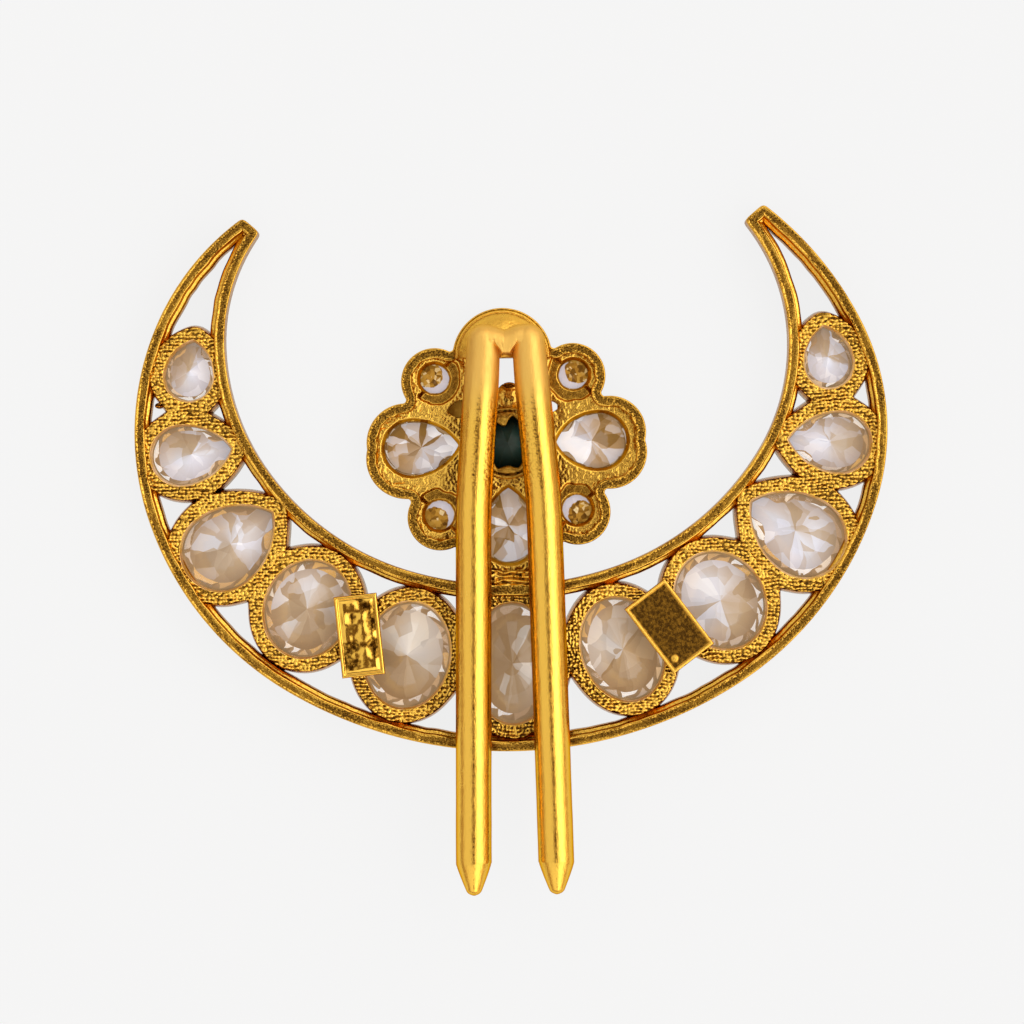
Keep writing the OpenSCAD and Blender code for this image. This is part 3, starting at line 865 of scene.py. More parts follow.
class BROOCH_OT_band(bpy.types.Operator):
    """Makes the crescent's frame: a raised band along both edges with a low ledge inside it."""

    bl_idname = "brooch.band"
    bl_label = "Crescent band"

    def execute(self, context):
        step = 0.12
        line = crescent_outline(step)
        normals = -outward(line)
        band, ledge = sizes().band_width / MM, sizes().ledge_width / MM
        # The ledge's rounded edge, as rows of the share of its width and the drop below its top
        foot = [(0.35, 0.01), (0.6, 0.04), (0.8, 0.1), (0.94, 0.2), (1.0, 0.4)]
        profile = np.array([
            *band_profile(band, FRAME_TOP, 0.13, 0.05),
            (band, (FRAME_TOP + LEDGE_TOP) / 2), (band, LEDGE_TOP + 0.05), (band + 0.05, LEDGE_TOP),
            *((band + ledge * share, LEDGE_TOP - drop) for share, drop in foot),
            (band + ledge, LEDGE_TOP / 2), (band + ledge, 0)])
        offsets, heights = (np.tile(column, (len(line), 1)) for column in profile.T)
        run = np.arange(len(line)) * step
        wave = 0.015 * np.sin(run * 1.7) + 0.01 * np.sin(run * 3.1 + 1)
        wave = wave + 0.05 * (soft_noise(run, run * 0, 0.7, 11) - 0.5)
        offsets = offsets + (offsets > band / 2) * wave[:, None]
        high = smooth_step(LEDGE_TOP + 0.5, FRAME_TOP - 0.1, heights)
        dents = 0.05 * (soft_noise(line[:, :1] + offsets, line[:, 1:] - offsets, 0.5, 12) - 0.5)
        heights = heights + high * dents
        offsets = np.minimum(offsets, room_to(line, normals, line)[:, None] + 0.02)
        # Painted shade, partly dirt: the ledge, the flat strip between the band's rounded edges with dark
        # streaks along it, and streaks on the outermost edge are darkened
        painted_dark_streak = smooth_step(0.3, 0.7, soft_noise(run[:, None] / 7 + 0 * offsets, offsets, 0.2, 13))
        low = smooth_step(LEDGE_TOP + 0.5, LEDGE_TOP + 0.2, heights)
        outermost = smooth_step(0.12, 0.04, offsets) * high
        hollow = 0.28 * low + strip_shade_zone(offsets, band) * (1 - low) * (0.44 + 0.36 * painted_dark_streak)
        grid = carried(line, normals, offsets, heights)
        make_gilt("crescent_band", grid, loop_faces(grid), ["band"], hollow + 0.3 * outermost * painted_dark_streak)
        return {"FINISHED"}


class BROOCH_OT_cups(bpy.types.Operator):
    """Makes a cup round each stone of the crescent, with the casting's rows on its back."""

    bl_idname = "brooch.cups"
    bl_label = "Cups"

    def execute(self, context):
        s = sizes()
        step, wall, flare = s.mesh_step / MM, s.cup_wall / MM, s.cup_flare / MM
        crescent = crescent_outline(0.15)
        lines = [seat_outline(seat, step) for seat in CRESCENT_SEATS]
        across = np.linspace(0, 1, round(wall / step))
        down = np.linspace(0, 1, 5)
        seat_z = GIRDLE_Z - GIRDLE
        for number, line in enumerate(lines):
            normals = outward(line)
            others = np.vstack([other[::3] for i, other in enumerate(lines) if i != number])
            band_room = room_before(line, normals, crescent, s.band_width / MM / 2)
            room = np.minimum(band_room, room_to(line, normals, others, 0.05) + 0.04)
            fillet = 0.45 * np.exp(-np.maximum(room - wall, 0) / 0.25)
            back = np.minimum(room, wall + fillet)
            front = np.minimum(room, wall + flare + fillet)
            mouth = np.minimum(0.06, back - 0.12)
            outer_side = [
                (front, 0), (back + 0.6 * (front - back), CUP_TOP * 0.5),
                (back + 0.1 * (front - back), CUP_TOP - 0.3), (back, CUP_TOP - 0.12)]
            top = [(back - 0.06 - t * (back - 0.06 - mouth - 0.02), CUP_TOP) for t in across]
            seat_wall = [(mouth - t * (mouth + 0.06), CUP_TOP - 0.04 - t * 0.3) for t in down]
            inner_side = [(-0.06, 1.48), (0.06, 1.47), (0.06, seat_z), (-0.1, seat_z), (-0.1, 0)]
            profile = outer_side + top + seat_wall + inner_side
            offsets = np.column_stack([offset + 0 * front for offset, _ in profile])
            heights = np.column_stack([height + 0 * front for _, height in profile])
            grid = carried(line, normals, offsets, heights)
            mouth = mouth[:, None]
            rough = smooth_step(mouth - 0.02, mouth + 0.06, offsets) * smooth_step(2.2, 2.95, heights)
            rows = cast_rows(grid[..., 0], grid[..., 1])
            grid[..., 2] += rough * (rows - ROWS_TOP) * s.ridge_depth / MM
            column = np.tile(np.arange(len(profile)), len(line))
            start = len(outer_side) + len(top) - 1
            is_wall = (column >= start) & (column <= start + len(seat_wall))
            # Dirt and painted shade in the low parts of the casting's rows; the seat walls take a painted
            # reflection of the stone
            make_gilt(f"cup_{number + 1}", grid, loop_faces(grid), ["cast", "painted_reflection_peach"],
                      rough * smooth_step(HOLLOW_TO, HOLLOW_FROM, rows), is_wall)
        return {"FINISHED"}


def make_bead(name, middle, way, long, wide, high):
    """A rounded bead: an oval of half sizes long and wide, along and across a direction, whose top falls
    off as the root of 1 - share^4 to a straight skirt, with the casting's rows on it."""
    side = np.array([-way[1], way[0]])
    a = np.linspace(0, 2 * math.pi, 72, endpoint=False)
    share = np.append(1.0, np.linspace(1, 0.02, 24))[:, None]
    u, v = long * np.cos(a) * share, wide * np.sin(a) * share
    flat = middle + u[..., None] * way + v[..., None] * side
    rows = cast_rows(flat[..., 0], flat[..., 1])
    z = high - 0.5 + 0.5 * np.sqrt(1 - share ** 4) + (rows - ROWS_TOP) * sizes().ridge_depth / MM
    z[0] = 0.4
    grid = np.dstack([flat, z])
    # Dirt and painted shade in the low parts of the rows
    make_gilt(name, grid, tube_faces(grid), ["cast"], smooth_step(HOLLOW_TO, HOLLOW_FROM, rows))


class BROOCH_OT_solder(bpy.types.Operator):
    """Makes the solder between cups that stand apart, and a small cast bead beside the first."""

    bl_idname = "brooch.solder"
    bl_label = "Solder"

    def execute(self, context):
        lines = [seat_outline(seat, 0.1) for seat in CRESCENT_SEATS]
        for i, (a, b) in enumerate(zip(lines, lines[1:])):
            gap = np.linalg.norm(a[:, None] - b[None], axis=2)
            j, k = np.unravel_index(gap.argmin(), gap.shape)
            least = gap[j, k]
            if least > 2.2 * sizes().cup_wall / MM:
                make_bead(f"solder_{i + 1}", (a[j] + b[k]) / 2, (b[k] - a[j]) / least,
                          least / 2 - 0.15, 0.75, CUP_TOP + 0.02)
        make_bead("cast_bead", np.array([-25.6, 3.65]), np.array([1.0, 0.0]), 0.32, 0.22, 2.5)
        return {"FINISHED"}


class BROOCH_OT_bezel(bpy.types.Operator):
    """Makes the ring round the centre stone, with a groove round it and eight claws over the stone."""

    bl_idname = "brooch.bezel"
    bl_label = "Centre bezel"

    def execute(self, context):
        _, cx, cy, length, _, _ = CENTRE_SEAT
        outer, groove_r, foot = 2.74, 2.34, 1.3
        a = np.linspace(0, 2 * math.pi, 360, endpoint=False)[:, None]
        from_top = a - math.pi / 2
        claw = (0.5 + 0.5 * np.cos(8 * (from_top - 0.075 * (1 + np.sin(a))))) ** 0.6
        top_claw = np.exp(-((from_top - 0.22) / 0.28) ** 4)
        inner = length / 2 - 0.02 - 0.32 * claw - 0.45 * top_claw
        t = np.linspace(0, 1, 26)
        radius = inner + (outer - inner) * t
        swell = 0.22 * np.sqrt(np.clip(1 - (1 - t / 0.3) ** 2, 0, 1)) * (t < 0.3) + 0.22 * (t >= 0.3)
        swell = swell + 0.08 * claw * np.exp(-((radius - 1.95) / 0.25) ** 2)
        groove = -0.16 * np.exp(-((radius - groove_r) / 0.07) ** 2)
        top = PLATE_TOP - 0.05 + swell + groove - 0.25 * smooth_step(2.55, outer, radius)
        r = np.hstack([inner, inner, radius, radius[:, -1:], inner + 0.3])
        z = np.hstack([0 * a + foot, 0 * a + PLATE_TOP - 0.15, top, 0 * a + foot, 0 * a + foot - 0.05])
        grid = np.dstack([cx + r * np.cos(a), cy + r * np.sin(a), z])
        # Dirt over the ring, and painted shade in the groove round it
        dark = 0.2 + 0.7 * np.exp(-((r - groove_r) / 0.09) ** 2)
        dark = dark + 0.2 * soft_noise(grid[..., 0], grid[..., 1], 0.3, 25)
        make_gilt("centre_bezel", grid, loop_faces(grid), ["dome"], np.clip(dark, 0, 1))
        return {"FINISHED"}


class BROOCH_OT_rim(bpy.types.Operator):
    """Makes the flower's scalloped rim band."""

    bl_idname = "brooch.rim"
    bl_label = "Flower rim"

    def execute(self, context):
        step = 0.08
        line = lobed_outline(LOBES, NOTCH_R, step)
        normals = -outward(line)
        band = sizes().band_width / MM
        profile = np.array([
            *band_profile(band, RIM_TOP, 0.12, 0.06), (band, (RIM_TOP + PLATE_TOP) / 2),
            (band + 0.05, PLATE_TOP - 0.2), (band, 1.0), (band, 0)])
        offsets, heights = (np.tile(column, (len(line), 1)) for column in profile.T)
        run = np.arange(len(line)) * step
        wave = 0.10 * (soft_noise(run, run * 0, 0.5, 21) - 0.5)
        offsets = offsets + (offsets > band / 2) * wave[:, None]
        high = smooth_step(PLATE_TOP + 0.3, RIM_TOP - 0.1, heights)
        bumps = grains(line[:, :1] + offsets, line[:, 1:] - offsets, 0.26, 22)
        heights = heights + high * 0.06 * (bumps - 0.6)
        # Painted shade, partly dirt, on the rim's flat strip, darker between the bumps
        hollow = strip_shade_zone(offsets, band) * high * (0.70 + 0.18 * smooth_step(0.9, 0.55, bumps))
        offsets = np.minimum(offsets, room_to(line, normals, line)[:, None] + 0.02)
        grid = carried(line, normals, offsets, heights)
        make_gilt("flower_rim", grid, loop_faces(grid), ["band"], hollow)
        return {"FINISHED"}


def flower_depth(x, y, grow, gaps):
    """How far points lie inside the flower's lobes, and outside every gap and every seat grown by so much.
    The mound fills its part of the first gap."""
    depth = np.full(np.shape(x), -1e3)
    for mx, my, r in [*LOBES, FLOWER_DISC]:
        depth = np.maximum(depth, r - np.hypot(x - mx, y - my))
    for seat in PETAL_SEATS + [CENTRE_SEAT]:
        depth = np.minimum(depth, -seat_depth(seat, x, y) - grow)
    holes = [seat_depth(gap, x, y) for gap in gaps]
    holes[0] = np.minimum(holes[0], np.hypot(x - MOUND[0], y - MOUND[1]) - MOUND[2])
    return np.minimum(depth, -np.max(holes, axis=0))


def cut_sheet(name, grow, gaps, step, top, bottom, material, dark=None):
    """A sheet cut to the flower's plan: a square grid whose points within half a step of the edge move
    onto it along the depth's slope. Its back and front follow height functions, and walls join them round
    the edge."""
    def depth_of(x, y):
        """The depth inside this sheet's edge."""
        return flower_depth(x, y, grow, gaps)

    x, y = np.meshgrid(np.arange(-10.7, 10.3, step), np.arange(-10.4, 10.5, step), indexing="ij")
    for _ in range(2):
        depth = depth_of(x, y)
        near = np.abs(depth) < 0.62 * step
        e = 0.01
        gx = (depth_of(x + e, y) - depth_of(x - e, y)) / (2 * e)
        gy = (depth_of(x, y + e) - depth_of(x, y - e)) / (2 * e)
        slope = np.maximum(gx ** 2 + gy ** 2, 0.25)
        x = np.where(near, x - depth * gx / slope, x)
        y = np.where(near, y - depth * gy / slope, y)
    kept = depth_of(x, y) > -0.12 * step
    quads = grid_faces(*x.shape)
    quads = quads[kept.ravel()[quads].all(1)]
    used, index = np.unique(quads, return_inverse=True)
    px, py = x.ravel()[used], y.ravel()[used]
    points = np.vstack([np.column_stack([px, py, z(px, py)]) for z in (top, bottom)])
    hollow = np.tile(dark(px, py), 2) if dark else None
    make_gilt(name, points, slab_faces(index.reshape(quads.shape), len(used)), [material], hollow)


class BROOCH_OT_plate(bpy.types.Operator):
    """Makes the flower's grainy plate with its sloping seats, and the plain front plate under it."""

    bl_idname = "brooch.plate"
    bl_label = "Flower plate"

    def execute(self, context):
        step = sizes().mesh_step / MM * 1.4
        size, deep = sizes().grain_size / MM, sizes().grain_depth / MM

        def pocket(x, y):
            """1 on the side of each small stone that faces the centre stone, as far as 0.75 mm from it."""
            most = 0 * x
            for seat in SMALL_PETAL_SEATS:
                u, v = x - seat[1], y - seat[2]
                to_x, to_y = CENTRE_SEAT[1] - seat[1], CENTRE_SEAT[2] - seat[2]
                cosine = (u * to_x + v * to_y) / (np.hypot(u, v) * math.hypot(to_x, to_y) + 1e-9)
                reach = 0.75 + 0.35 * (soft_noise(x, y, 0.6, 33) - 0.5)
                near = smooth_step(reach, reach - 0.12, -seat_depth(seat, x, y))
                most = np.maximum(most, near * smooth_step(-0.15, 0.1, cosine))
            return most

        def back(x, y):
            """The plate's height, less the slopes at the seats and the pockets, plus the grains and the
            mound."""
            away = np.min([-seat_depth(seat, x, y) for seat in PETAL_SEATS + [CENTRE_SEAT]], axis=0)
            slope = 0.6 * (1 - smooth_step(-0.12, 0.12, away))
            bumps = grains(x, y, size, 31) + soft_noise(x, y, 0.45, 32) * 0.6
            low = pocket(x, y)
            rough = deep * (1.5 - 0.5 * smooth_step(-1, 2, x)) * (1 - low)
            share = np.hypot(x - MOUND[0], y - MOUND[1] + 0.1) / MOUND[2]
            swell = 0.5 * np.maximum(1 - share ** 2, 0)
            return PLATE_TOP - np.maximum(slope, 0.4 * low) + rough * (bumps - 1.0) + swell

        def dark(x, y):
            """Dirt and painted shade between the grains, fewer of these specks to the right, where a light
            even darkening is added, and on the mound, which is painted lighter; a painted shadow lies in the
            pockets.
            """
            specks = smooth_step(0.68, 0.35, grains(x, y, size, 31)) * (0.44 - 0.2 * smooth_step(-1, 2, x))
            mound = smooth_step(MOUND[2], MOUND[2] - 0.3, np.hypot(x - MOUND[0], y - MOUND[1]))
            return np.maximum(specks * (1 - 0.7 * mound) + 0.1 * smooth_step(0, 4, x), 0.46 * pocket(x, y))

        cut_sheet("flower_plate", -0.12, FLOWER_GAPS, step, back, lambda x, y: 0 * x + 1.0, "grain", dark)
        cut_sheet("flower_front", -0.1, FRONT_GAPS, 0.2,
                  lambda x, y: 0 * x + PETAL_GIRDLE_Z - GIRDLE, lambda x, y: 0 * x, "satin")
        return {"FINISHED"}


class BROOCH_OT_joint(bpy.types.Operator):
    """Makes the ridged strip of solder that joins the flower to the crescent between the prongs."""

    bl_idname = "brooch.joint"
    bl_label = "Joint"

    def execute(self, context):
        x, y = np.meshgrid(np.linspace(-2.6, 2.4, 110), np.linspace(-10.05, -8.85, 34), indexing="ij")
        wave = np.cos((y + 0.22 * soft_noise(x, y, 0.6, 72)) * 2 * math.pi / 0.34)
        top = FRAME_TOP - 0.12 + 0.08 * wave + 0.12 * soft_noise(x, y, 0.25, 71)
        grid = np.dstack([x, y + 0.025 * x ** 2, top])
        grid = np.pad(grid, ((0, 0), (1, 1), (0, 0)), mode="edge")
        grid[:, [0, -1], 2] = 1.5
        # Dirt and painted shade in the troughs between the ridges
        dark = smooth_step(0.1, -0.7, wave) * (0.4 + 0.6 * soft_noise(x, y, 0.2, 73))
        dark = np.pad(dark, ((0, 0), (1, 1)))
        make_gilt("joint", grid, tube_faces(grid, ends_in=True), ["cast"], dark)
        return {"FINISHED"}


class BROOCH_OT_dome(bpy.types.Operator):
    """Makes the domed plate that closes the top petal: the upper half of a disc, with a groove near its
    edge."""

    bl_idname = "brooch.dome"
    bl_label = "Dome plate"

    def execute(self, context):
        mx, my, radius = LOBES[0]
        r = radius - 0.15
        rise = 1.9
        sphere = (r * r + rise * rise) / (2 * rise)
        share = np.append(np.linspace(0.002, 0.93, 44), [0.945, 0.955, 0.97, 0.985, 1.0])
        out = r * share
        height = RIM_TOP + rise - sphere + np.sqrt(sphere ** 2 - out ** 2)
        height[-4:] = np.maximum(height[-4:], RIM_TOP + 0.1) + [0.12, 0.18, 0.16, 0.0]
        turns = np.linspace(0, math.pi, 91)[:, None]
        x, y = mx + np.cos(turns) * out, my + np.sin(turns) * out
        z = height + 0.06 * (soft_noise(x, y, 1.1, 41) - 0.5) + 0.015 * soft_noise(x, y, 0.35, 42)
        top = np.dstack([x, y, z])
        grid = np.hstack([top, top[:, ::-1] * [1, 1, 0] + [0, 0, 1]])
        # Painted shade in the groove near the edge
        groove = 0.55 * np.exp(-((share - 0.925) / 0.012) ** 2)
        hollow = np.broadcast_to(np.append(groove, groove[::-1]), grid.shape[:2])
        make_gilt("dome_plate", grid, tube_faces(grid), ["dome"], hollow)
        return {"FINISHED"}


def make_prong(name, side):
    """A round prong on its middle line: a rounded head, a shaft whose spacing and radius are means of the
    rows over a window, and a blunt point. A speckled painted dark reflection lies along its crest, stronger
    further down and near the hub; near the flower, dirt and painted shade darken its inner side."""
    rows = np.array(PRONG_ROWS)
    shaft_y = np.linspace(rows[1, 0], rows[4, 0], PRONG_RINGS)
    mean = np.ones(PRONG_WINDOW) / PRONG_WINDOW
    columns = (np.interp(-shaft_y, -rows[:, 0], column) for column in rows.T[1:])
    padded = (np.pad(column, PRONG_WINDOW // 2, mode="edge") for column in columns)
    half, radius = (np.convolve(column, mean, "valid") for column in padded)
    a = np.radians(np.linspace(88, 0, 12))[:-1]
    t = np.linspace(0, 0.997, 28)[1:]
    tip_r = radius[-1] * (1 - 0.68 * t ** 1.15) * np.sqrt(1 - np.clip((t - 0.86) / 0.14, 0, 1) ** 2)
    tip_y = rows[4, 0] + t * (rows[5, 0] - rows[4, 0])
    y = np.concatenate([rows[1, 0] + radius[0] * np.sin(a), shaft_y, tip_y])[:, None]
    r = np.concatenate([radius[0] * np.cos(a), radius, tip_r])[:, None]
    away = np.concatenate([np.full(len(a), half[0]), half, np.full(len(t), half[-1] + 0.02)])[:, None]
    turns = np.linspace(0, 2 * math.pi, PRONG_SIDES, endpoint=False)
    dent = 1 + 0.012 * (soft_noise(y + 0 * turns, 3 * np.cos(turns)[None] + 9, 1.7, 51) - 0.5)
    place = np.cos(turns)[None] + 0.05 * (soft_noise(y, y * 0, 1.5, 54) - 0.5)
    speck = grains(y + 0 * turns, place * 1.3, 0.17, 55)
    near_hub = smooth_step(-4.5, -1.5, y) * smooth_step(4.6, 3.2, y)
    # Painted dark reflection along the crest, broken by specks
    painted_dark_streak = np.exp(-((place - 0.02 + 0.1 * near_hub) / (0.05 + 0.09 * near_hub)) ** 2) * (np.sin(turns) > 0)
    far = smooth_step(-12.0, -18.0, y)
    hollow = (0.3 + 0.5 * far + 0.6 * near_hub) * painted_dark_streak * smooth_step(0.95, 0.65, speck)
    inner = smooth_step(0.25, 0.6, -side * place)
    hollow = hollow + 0.5 * near_hub * inner * smooth_step(0.85, 0.6, speck)
    dent = dent - 0.015 * near_hub * inner * smooth_step(0.9, 0.65, speck)
    x = PIN_X + side * away + r * np.cos(turns) * dent
    z = PIN_AXIS + r * np.sin(turns) * dent
    grid = np.dstack([x, np.broadcast_to(y, x.shape), z])
    make_gilt(name, grid, tube_faces(grid), ["prong"], np.clip(hollow, 0, 1))


def make_web():
    """The filed web between the prongs' heads: the heads' own round tops, filled between them down to a
    tongue in the form of a V, rounded off at both edges, with file marks that fan out from a point
    below."""
    radius = PRONG_ROWS[1][2]
    spacing = PRONG_ROWS[1][1]
    fan_y = 6.2
    across = np.linspace(-spacing, spacing, 110)[:, None]
    tube = PIN_AXIS + np.sqrt(np.maximum(radius ** 2 - (spacing - np.abs(across)) ** 2, 0))
    fill = PIN_AXIS + radius * (0.96 + 0.02 * (across / spacing) ** 2)
    top_y = np.interp(across, *np.transpose(WEB_EDGE))
    low_y = 6.90 + 0.3 * smooth_step(0.42, 0.55, np.abs(across + 0.02))
    y = low_y + (top_y - low_y) * np.linspace(0, 1, 80)
    x = np.broadcast_to(PIN_X + across, y.shape)
    edge = np.clip((top_y - y) / radius, 0, 1)
    foot = np.clip((y - low_y) / 0.3, 0, 1)
    round_off = np.sqrt(1 - (1 - edge) ** 2) * (0.7 + 0.3 * np.sqrt(1 - (1 - foot) ** 2))
    half = 0.36 + 0.5 * smooth_step(6.95, 7.9, y)
    tongue = smooth_step(0.07, -0.07, np.abs(across + 0.02) - half)
    full = np.maximum(smooth_step(7.5, 8.0, y), tongue)
    crest = tube + np.maximum(fill - tube, 0) * full - 0.04 * (1 - full)
    crest = crest - 0.02 * smooth_step(1.0, 1.4, np.abs(across))
    fan = np.arctan2(x - PIN_X, y - fan_y)
    files = soft_noise(fan * 14, np.hypot(x - PIN_X, y - fan_y) * 0.8, 1.0, 52)
    z = PIN_AXIS + (crest - PIN_AXIS) * round_off - 0.02 * files * smooth_step(1.5, 0.9, np.abs(across))
    grid = np.pad(np.dstack([x, y, z]), ((0, 0), (1, 1), (0, 0)), mode="edge")
    grid[:, [0, -1], 2] = 4.0
    files = np.pad(files, ((0, 0), (1, 1)), mode="edge")
    hollow = 0.12 * smooth_step(0.4, 0.8, files)
    make_gilt("pin_web", grid, tube_faces(grid, ends_in=True), ["prong"], hollow)


class BROOCH_OT_hairpin(bpy.types.Operator):
    """Makes the hairpin: two round prongs with rounded heads, and the filed web between them."""

    bl_idname = "brooch.hairpin"
    bl_label = "Hairpin"

    def execute(self, context):
        make_prong("left_prong", -1)
        make_prong("right_prong", 1)
        make_web()
        return {"FINISHED"}


class BROOCH_OT_tags(bpy.types.Operator):
    """Makes the two small plates soldered across neighbouring cups, each with a sunk field inside a rim."""

    bl_idname = "brooch.tags"
    bl_label = "Small plates"

    def execute(self, context):
        for name, mx, my, width, length, turn, finish, relief, knobbed in TAGS:
            u, v = np.meshgrid(np.linspace(-1, 1, 64), np.linspace(-1, 1, 110), indexing="ij")
            x, y = u * width / 2, v * length / 2
            rim = np.minimum(width / 2 - np.abs(x), length / 2 - np.abs(y))
            field = smooth_step(0.2, 0.34, rim)
            bosses = soft_noise(x + 20, y, 0.7, 61) + 0.25 * soft_noise(x + 20, y, 0.35, 62)
            knob = np.sqrt(np.clip(1 - ((x + 1.1) ** 2 + (y + 2.1) ** 2) / 0.3 ** 2, 0, 1)) * knobbed
            if knobbed:
                dirt = field * (0.92 + 0.16 * soft_noise(x, y, 0.14, 63)) * (1 - knob)
            else:
                dirt = 0.75 * field * smooth_step(0.62, 0.4, bosses)
            z = TAG_TOP - 0.12 * smooth_step(0.16, 0.3, rim) - 0.08 * (1 - smooth_step(0.0, 0.1, rim))
            z = z + relief * smooth_step(0.3, 0.6, rim) * bosses + 0.1 * knob
            a = math.radians(turn)
            px = mx + x * math.cos(a) - y * math.sin(a)
            py = my + x * math.sin(a) + y * math.cos(a)
            points = np.stack([np.dstack([px, py, z]), np.dstack([px, py, 0 * z + TAG_BOTTOM])])
            make_gilt(name, points, slab_faces(grid_faces(*u.shape), u.size), [finish],
                      np.tile(dirt.ravel(), 2))
        return {"FINISHED"}


def cut_stone(name, seat, girdle_z, count, seed, material, node, towards=0.0, warmth=0.0):
    """A brilliant: a table, star and kite facets and halves in front, a thin girdle, and at the back
    halves and kites that meet at a point. Rings stand at shares of the outline, every second one half a
    step round."""
    form, x, y, _, width, turn = seat
    middle = np.array([x, y])
    fine = seat_points(seat, 4 * count)
    tip, between, girdle = fine[0::4], fine[2::4], fine[0::2]
    crown, pavilion = CROWN_SHARE * width / 2, PAVILION_SHARE * width / 2
    back_z = girdle_z + GIRDLE
    bend = math.cos(math.pi / count)
    # Rings from the table to the culet, as rows of line, share of the outline and height
    rings = [
        (between, 0.58, girdle_z - crown),
        (tip, 0.80, girdle_z - crown * 0.55),
        (girdle, 1.0, girdle_z),
        (girdle, 1.0, back_z),
        (between, 0.70, back_z + pavilion * (1 - 0.70 * bend)),
        (between, 0.36, back_z + pavilion * (1 - 0.36 * bend)),
        (middle[None], 0.0, back_z + pavilion),
    ]
    points = np.vstack([
        np.column_stack([middle + (line - middle) * share, np.full(len(line), z)])
        for line, share, z in rings])
    shares = np.concatenate([np.full(len(line), share) for line, share, _ in rings])

    # The number of each ring's first point, in the same order
    t, s, f, b, l, m, c = np.cumsum([0] + [len(line) for line, _, _ in rings[:-1]])
    i = np.arange(count)
    n, p = (i + 1) % count, (i - 1) % count
    j = np.arange(2 * count)
    k = (j + 1) % (2 * count)
    triangles = [
        (t + p, s + i, t + i),
        (s + i, f + 2 * i, f + 2 * i + 1), (s + n, f + 2 * i + 1, f + 2 * n),
        (b + 2 * i, l + i, b + 2 * i + 1), (b + 2 * i + 1, l + i, b + 2 * n),
        (m + p, c + 0 * i, m + i),
        (b + 2 * i, l + p, m + p), (b + 2 * i, m + p, m + i), (b + 2 * i, m + i, l + i),
    ]
    quads = [(s + i, f + 2 * i + 1, s + n, t + i), (f + j, b + j, b + k, f + k)]
    faces = [np.vstack([np.column_stack(row) for row in rows]) for rows in (triangles, quads)]
    piece = make_piece(name, points, [*faces, (t + i)[None]], [material], node, smooth=False)

    angle = np.arctan2(points[:, 1] - y, points[:, 0] - x)
    for key, start, last in (("gem", towards, seed * 0.37), ("tip", math.radians(turn), form == "pear")):
        a = angle - start
        values = np.column_stack([shares * np.cos(a), shares * np.sin(a), np.full(len(a), last)])
        put_values(piece.data, key, "FLOAT_VECTOR", "vector", values)
    put_values(piece.data, "warmth", "FLOAT", "value", np.full(len(points), warmth))


class BROOCH_OT_stones(bpy.types.Operator):
    """Cuts the nineteen stones."""

    bl_idname = "brooch.stones"
    bl_label = "Stones"

    def execute(self, context):
        count = sizes().facets
        small_count = 8
        for i, seat in enumerate(CRESCENT_SEATS):
            warmth = smooth_step(24, 5, abs(seat[1] + 1.5))
            cut_stone(f"cut_stone_{i + 1}", seat, GIRDLE_Z, count, 100 + i, "clear",
                      f"stone_{i + 1}", math.radians(CRESCENT_PALE[i]), warmth)
        for i, seat in enumerate(PETAL_SEATS):
            name = f"petal_stone_{i + 1}"
            if seat in SMALL_PETAL_SEATS:
                facets, finish = small_count, "round"
                towards = math.atan2(CENTRE_SEAT[2] - seat[2], CENTRE_SEAT[1] - seat[1])
            else:
                facets, finish = count, "petal"
                towards = math.radians(PETAL_PALE[i])
            cut_stone(f"cut_{name}", seat, PETAL_GIRDLE_Z, facets, PETAL_SEEDS[i], finish,
                      name, towards, PETAL_WARMTH[i])
        cut_stone("cut_centre_stone", CENTRE_SEAT, PETAL_GIRDLE_Z, small_count, 300, "green",
                  "centre_stone")
        return {"FINISHED"}


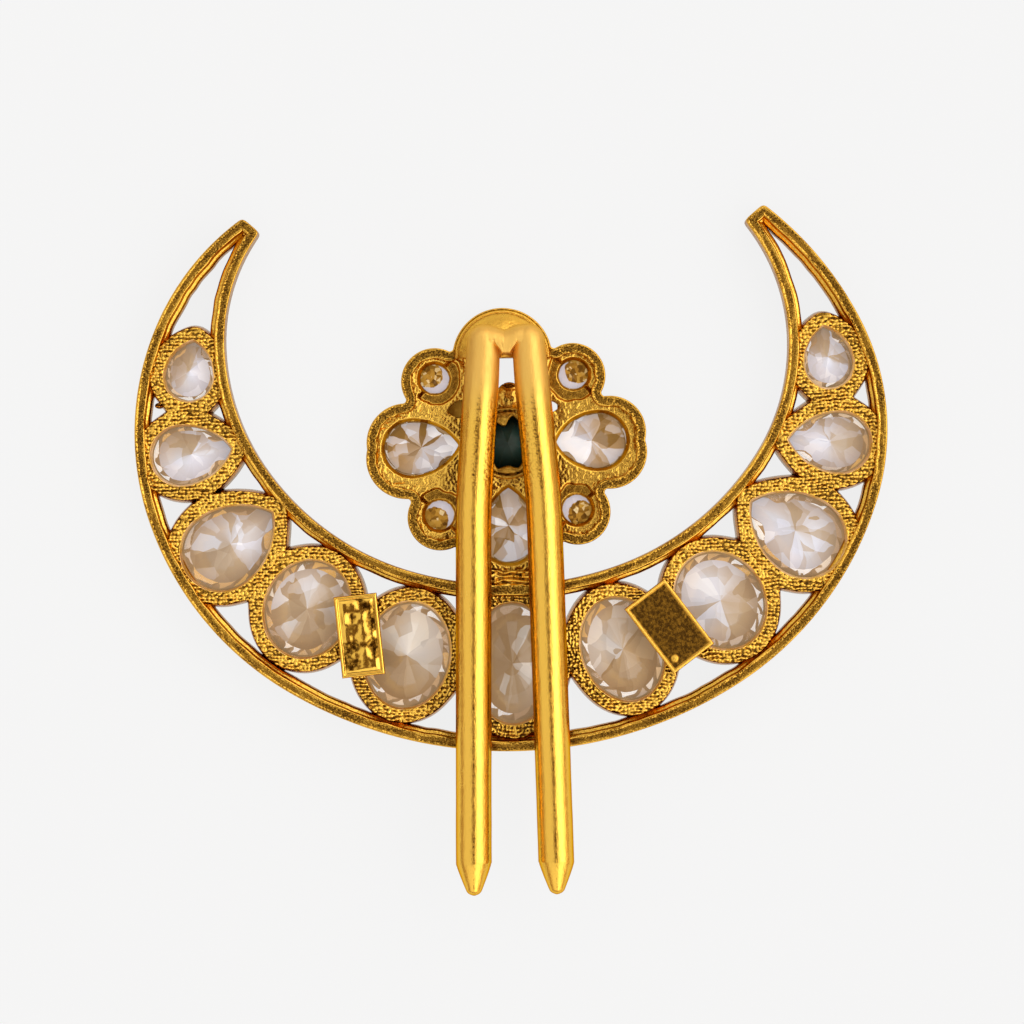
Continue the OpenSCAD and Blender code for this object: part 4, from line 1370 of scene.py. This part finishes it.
class BROOCH_OT_stage(bpy.types.Operator):
    """Sets the floor, the light and the camera."""

    bl_idname = "brooch.stage"
    bl_label = "Stage"

    def execute(self, context):
        mesh = bpy.data.meshes.new("floor")
        far = 3.0
        corners = [(-far, -far, 0), (far, -far, 0), (far, far, 0), (-far, far, 0)]
        mesh.from_pydata(corners, [], [(0, 1, 2, 3)])
        floor = bpy.data.objects.new("floor", mesh)
        floor.location.z = -0.1 * MM
        context.scene.collection.objects.link(floor)
        f = Finish(bpy.data.materials.new("floor"))
        lit = f.node("ShaderNodeEmission", None, {"Color": (*colours().floor, 1), "Strength": 0.932})
        soft = f.node("ShaderNodeBsdfDiffuse", None, {"Color": (0.06, 0.06, 0.06, 1)})
        mesh.materials.append(f.finish(f.node("ShaderNodeAddShader", None, {0: lit, 1: soft})))

        # The studio is dark overhead, brighter on the right and at both ends, and has a lamp on the right
        world = bpy.data.worlds.new("studio")
        context.scene.world = world
        w = Finish(world)
        way = w.node("ShaderNodeTexCoord", output="Generated")
        x, y, z = (w.part(way, i) for i in range(3))
        away = w.ramp((((x - 0.02) / 0.16) ** 2.0 + (y / 0.5) ** 2.0) ** 0.5, 0.8, 1.3)
        high = w.ramp(z, 0.1, 0.5)
        right = w.ramp(x, 0.0, 0.35, 0.78, 1.65) * (high * 0.8 + 0.2)
        ends = w.ramp(y.math("ABSOLUTE"), 0.4, 0.75, 1.0, 1.25)
        lamp = w.ramp(((x - 0.62) * (x - 0.62) + (y - 0.05) * (y - 0.05)) ** 0.5, 0.22, 0.1)
        level = away * right * ends + lamp * high * 1.7 + 0.15
        colour = w.mix(away * high, (1.0, 0.62, 0.34), (1.0, 0.99, 0.97))
        back = w.node("ShaderNodeBackground", None, {"Color": colour, "Strength": level})
        w.finish(back, "ShaderNodeOutputWorld")

        camera_data = bpy.data.cameras.new("camera")
        distance = 450 * MM
        width = 74.75 * MM
        camera_data.sensor_width = 36.0
        camera_data.lens = camera_data.sensor_width * distance / width
        camera_data.clip_start, camera_data.clip_end = 0.01, 10.0
        camera = bpy.data.objects.new("camera", camera_data)
        camera.location = (-0.03 * MM, 2.87 * MM, FRAME_TOP * MM + distance)
        camera.rotation_euler = (0, 0, math.radians(-1.0))
        context.scene.collection.objects.link(camera)
        context.scene.camera = camera
        context.scene.view_settings.view_transform = "Standard"
        return {"FINISHED"}


class BROOCH_PT_panel(bpy.types.Panel):
    """Shows the brooch's sizes and colours, and a button for each step that builds it."""

    bl_label = "Brooch"
    bl_space_type = "VIEW_3D"
    bl_region_type = "UI"
    bl_category = "Brooch"

    def draw(self, context):
        layout = self.layout
        for group in (context.scene.brooch_sizes, context.scene.brooch_colours):
            for key in group.__annotations__:
                layout.prop(group, key)
        for operator in OPERATORS:
            layout.operator(operator.bl_idname)


OPERATORS = (
    BROOCH_OT_stage, BROOCH_OT_band, BROOCH_OT_cups, BROOCH_OT_solder, BROOCH_OT_bezel, BROOCH_OT_rim,
    BROOCH_OT_plate, BROOCH_OT_joint, BROOCH_OT_dome, BROOCH_OT_hairpin, BROOCH_OT_tags, BROOCH_OT_stones,
)
CLASSES = (BroochSizes, BroochColours, *OPERATORS, BROOCH_PT_panel)


def register():
    """Makes the classes known to Blender and adds the two groups to the scene."""
    for kind in CLASSES:
        bpy.utils.register_class(kind)
    bpy.types.Scene.brooch_sizes = PointerProperty(type=BroochSizes)
    bpy.types.Scene.brooch_colours = PointerProperty(type=BroochColours)


def unregister():
    """Takes back what register adds."""
    del bpy.types.Scene.brooch_colours
    del bpy.types.Scene.brooch_sizes
    for kind in reversed(CLASSES):
        bpy.utils.unregister_class(kind)


def main():
    """Builds the brooch and the stage."""
    register()
    make_finishes()
    for operator in OPERATORS:
        group, name = operator.bl_idname.split(".")
        getattr(getattr(bpy.ops, group), name)()


if __name__ == "__main__":
    main()
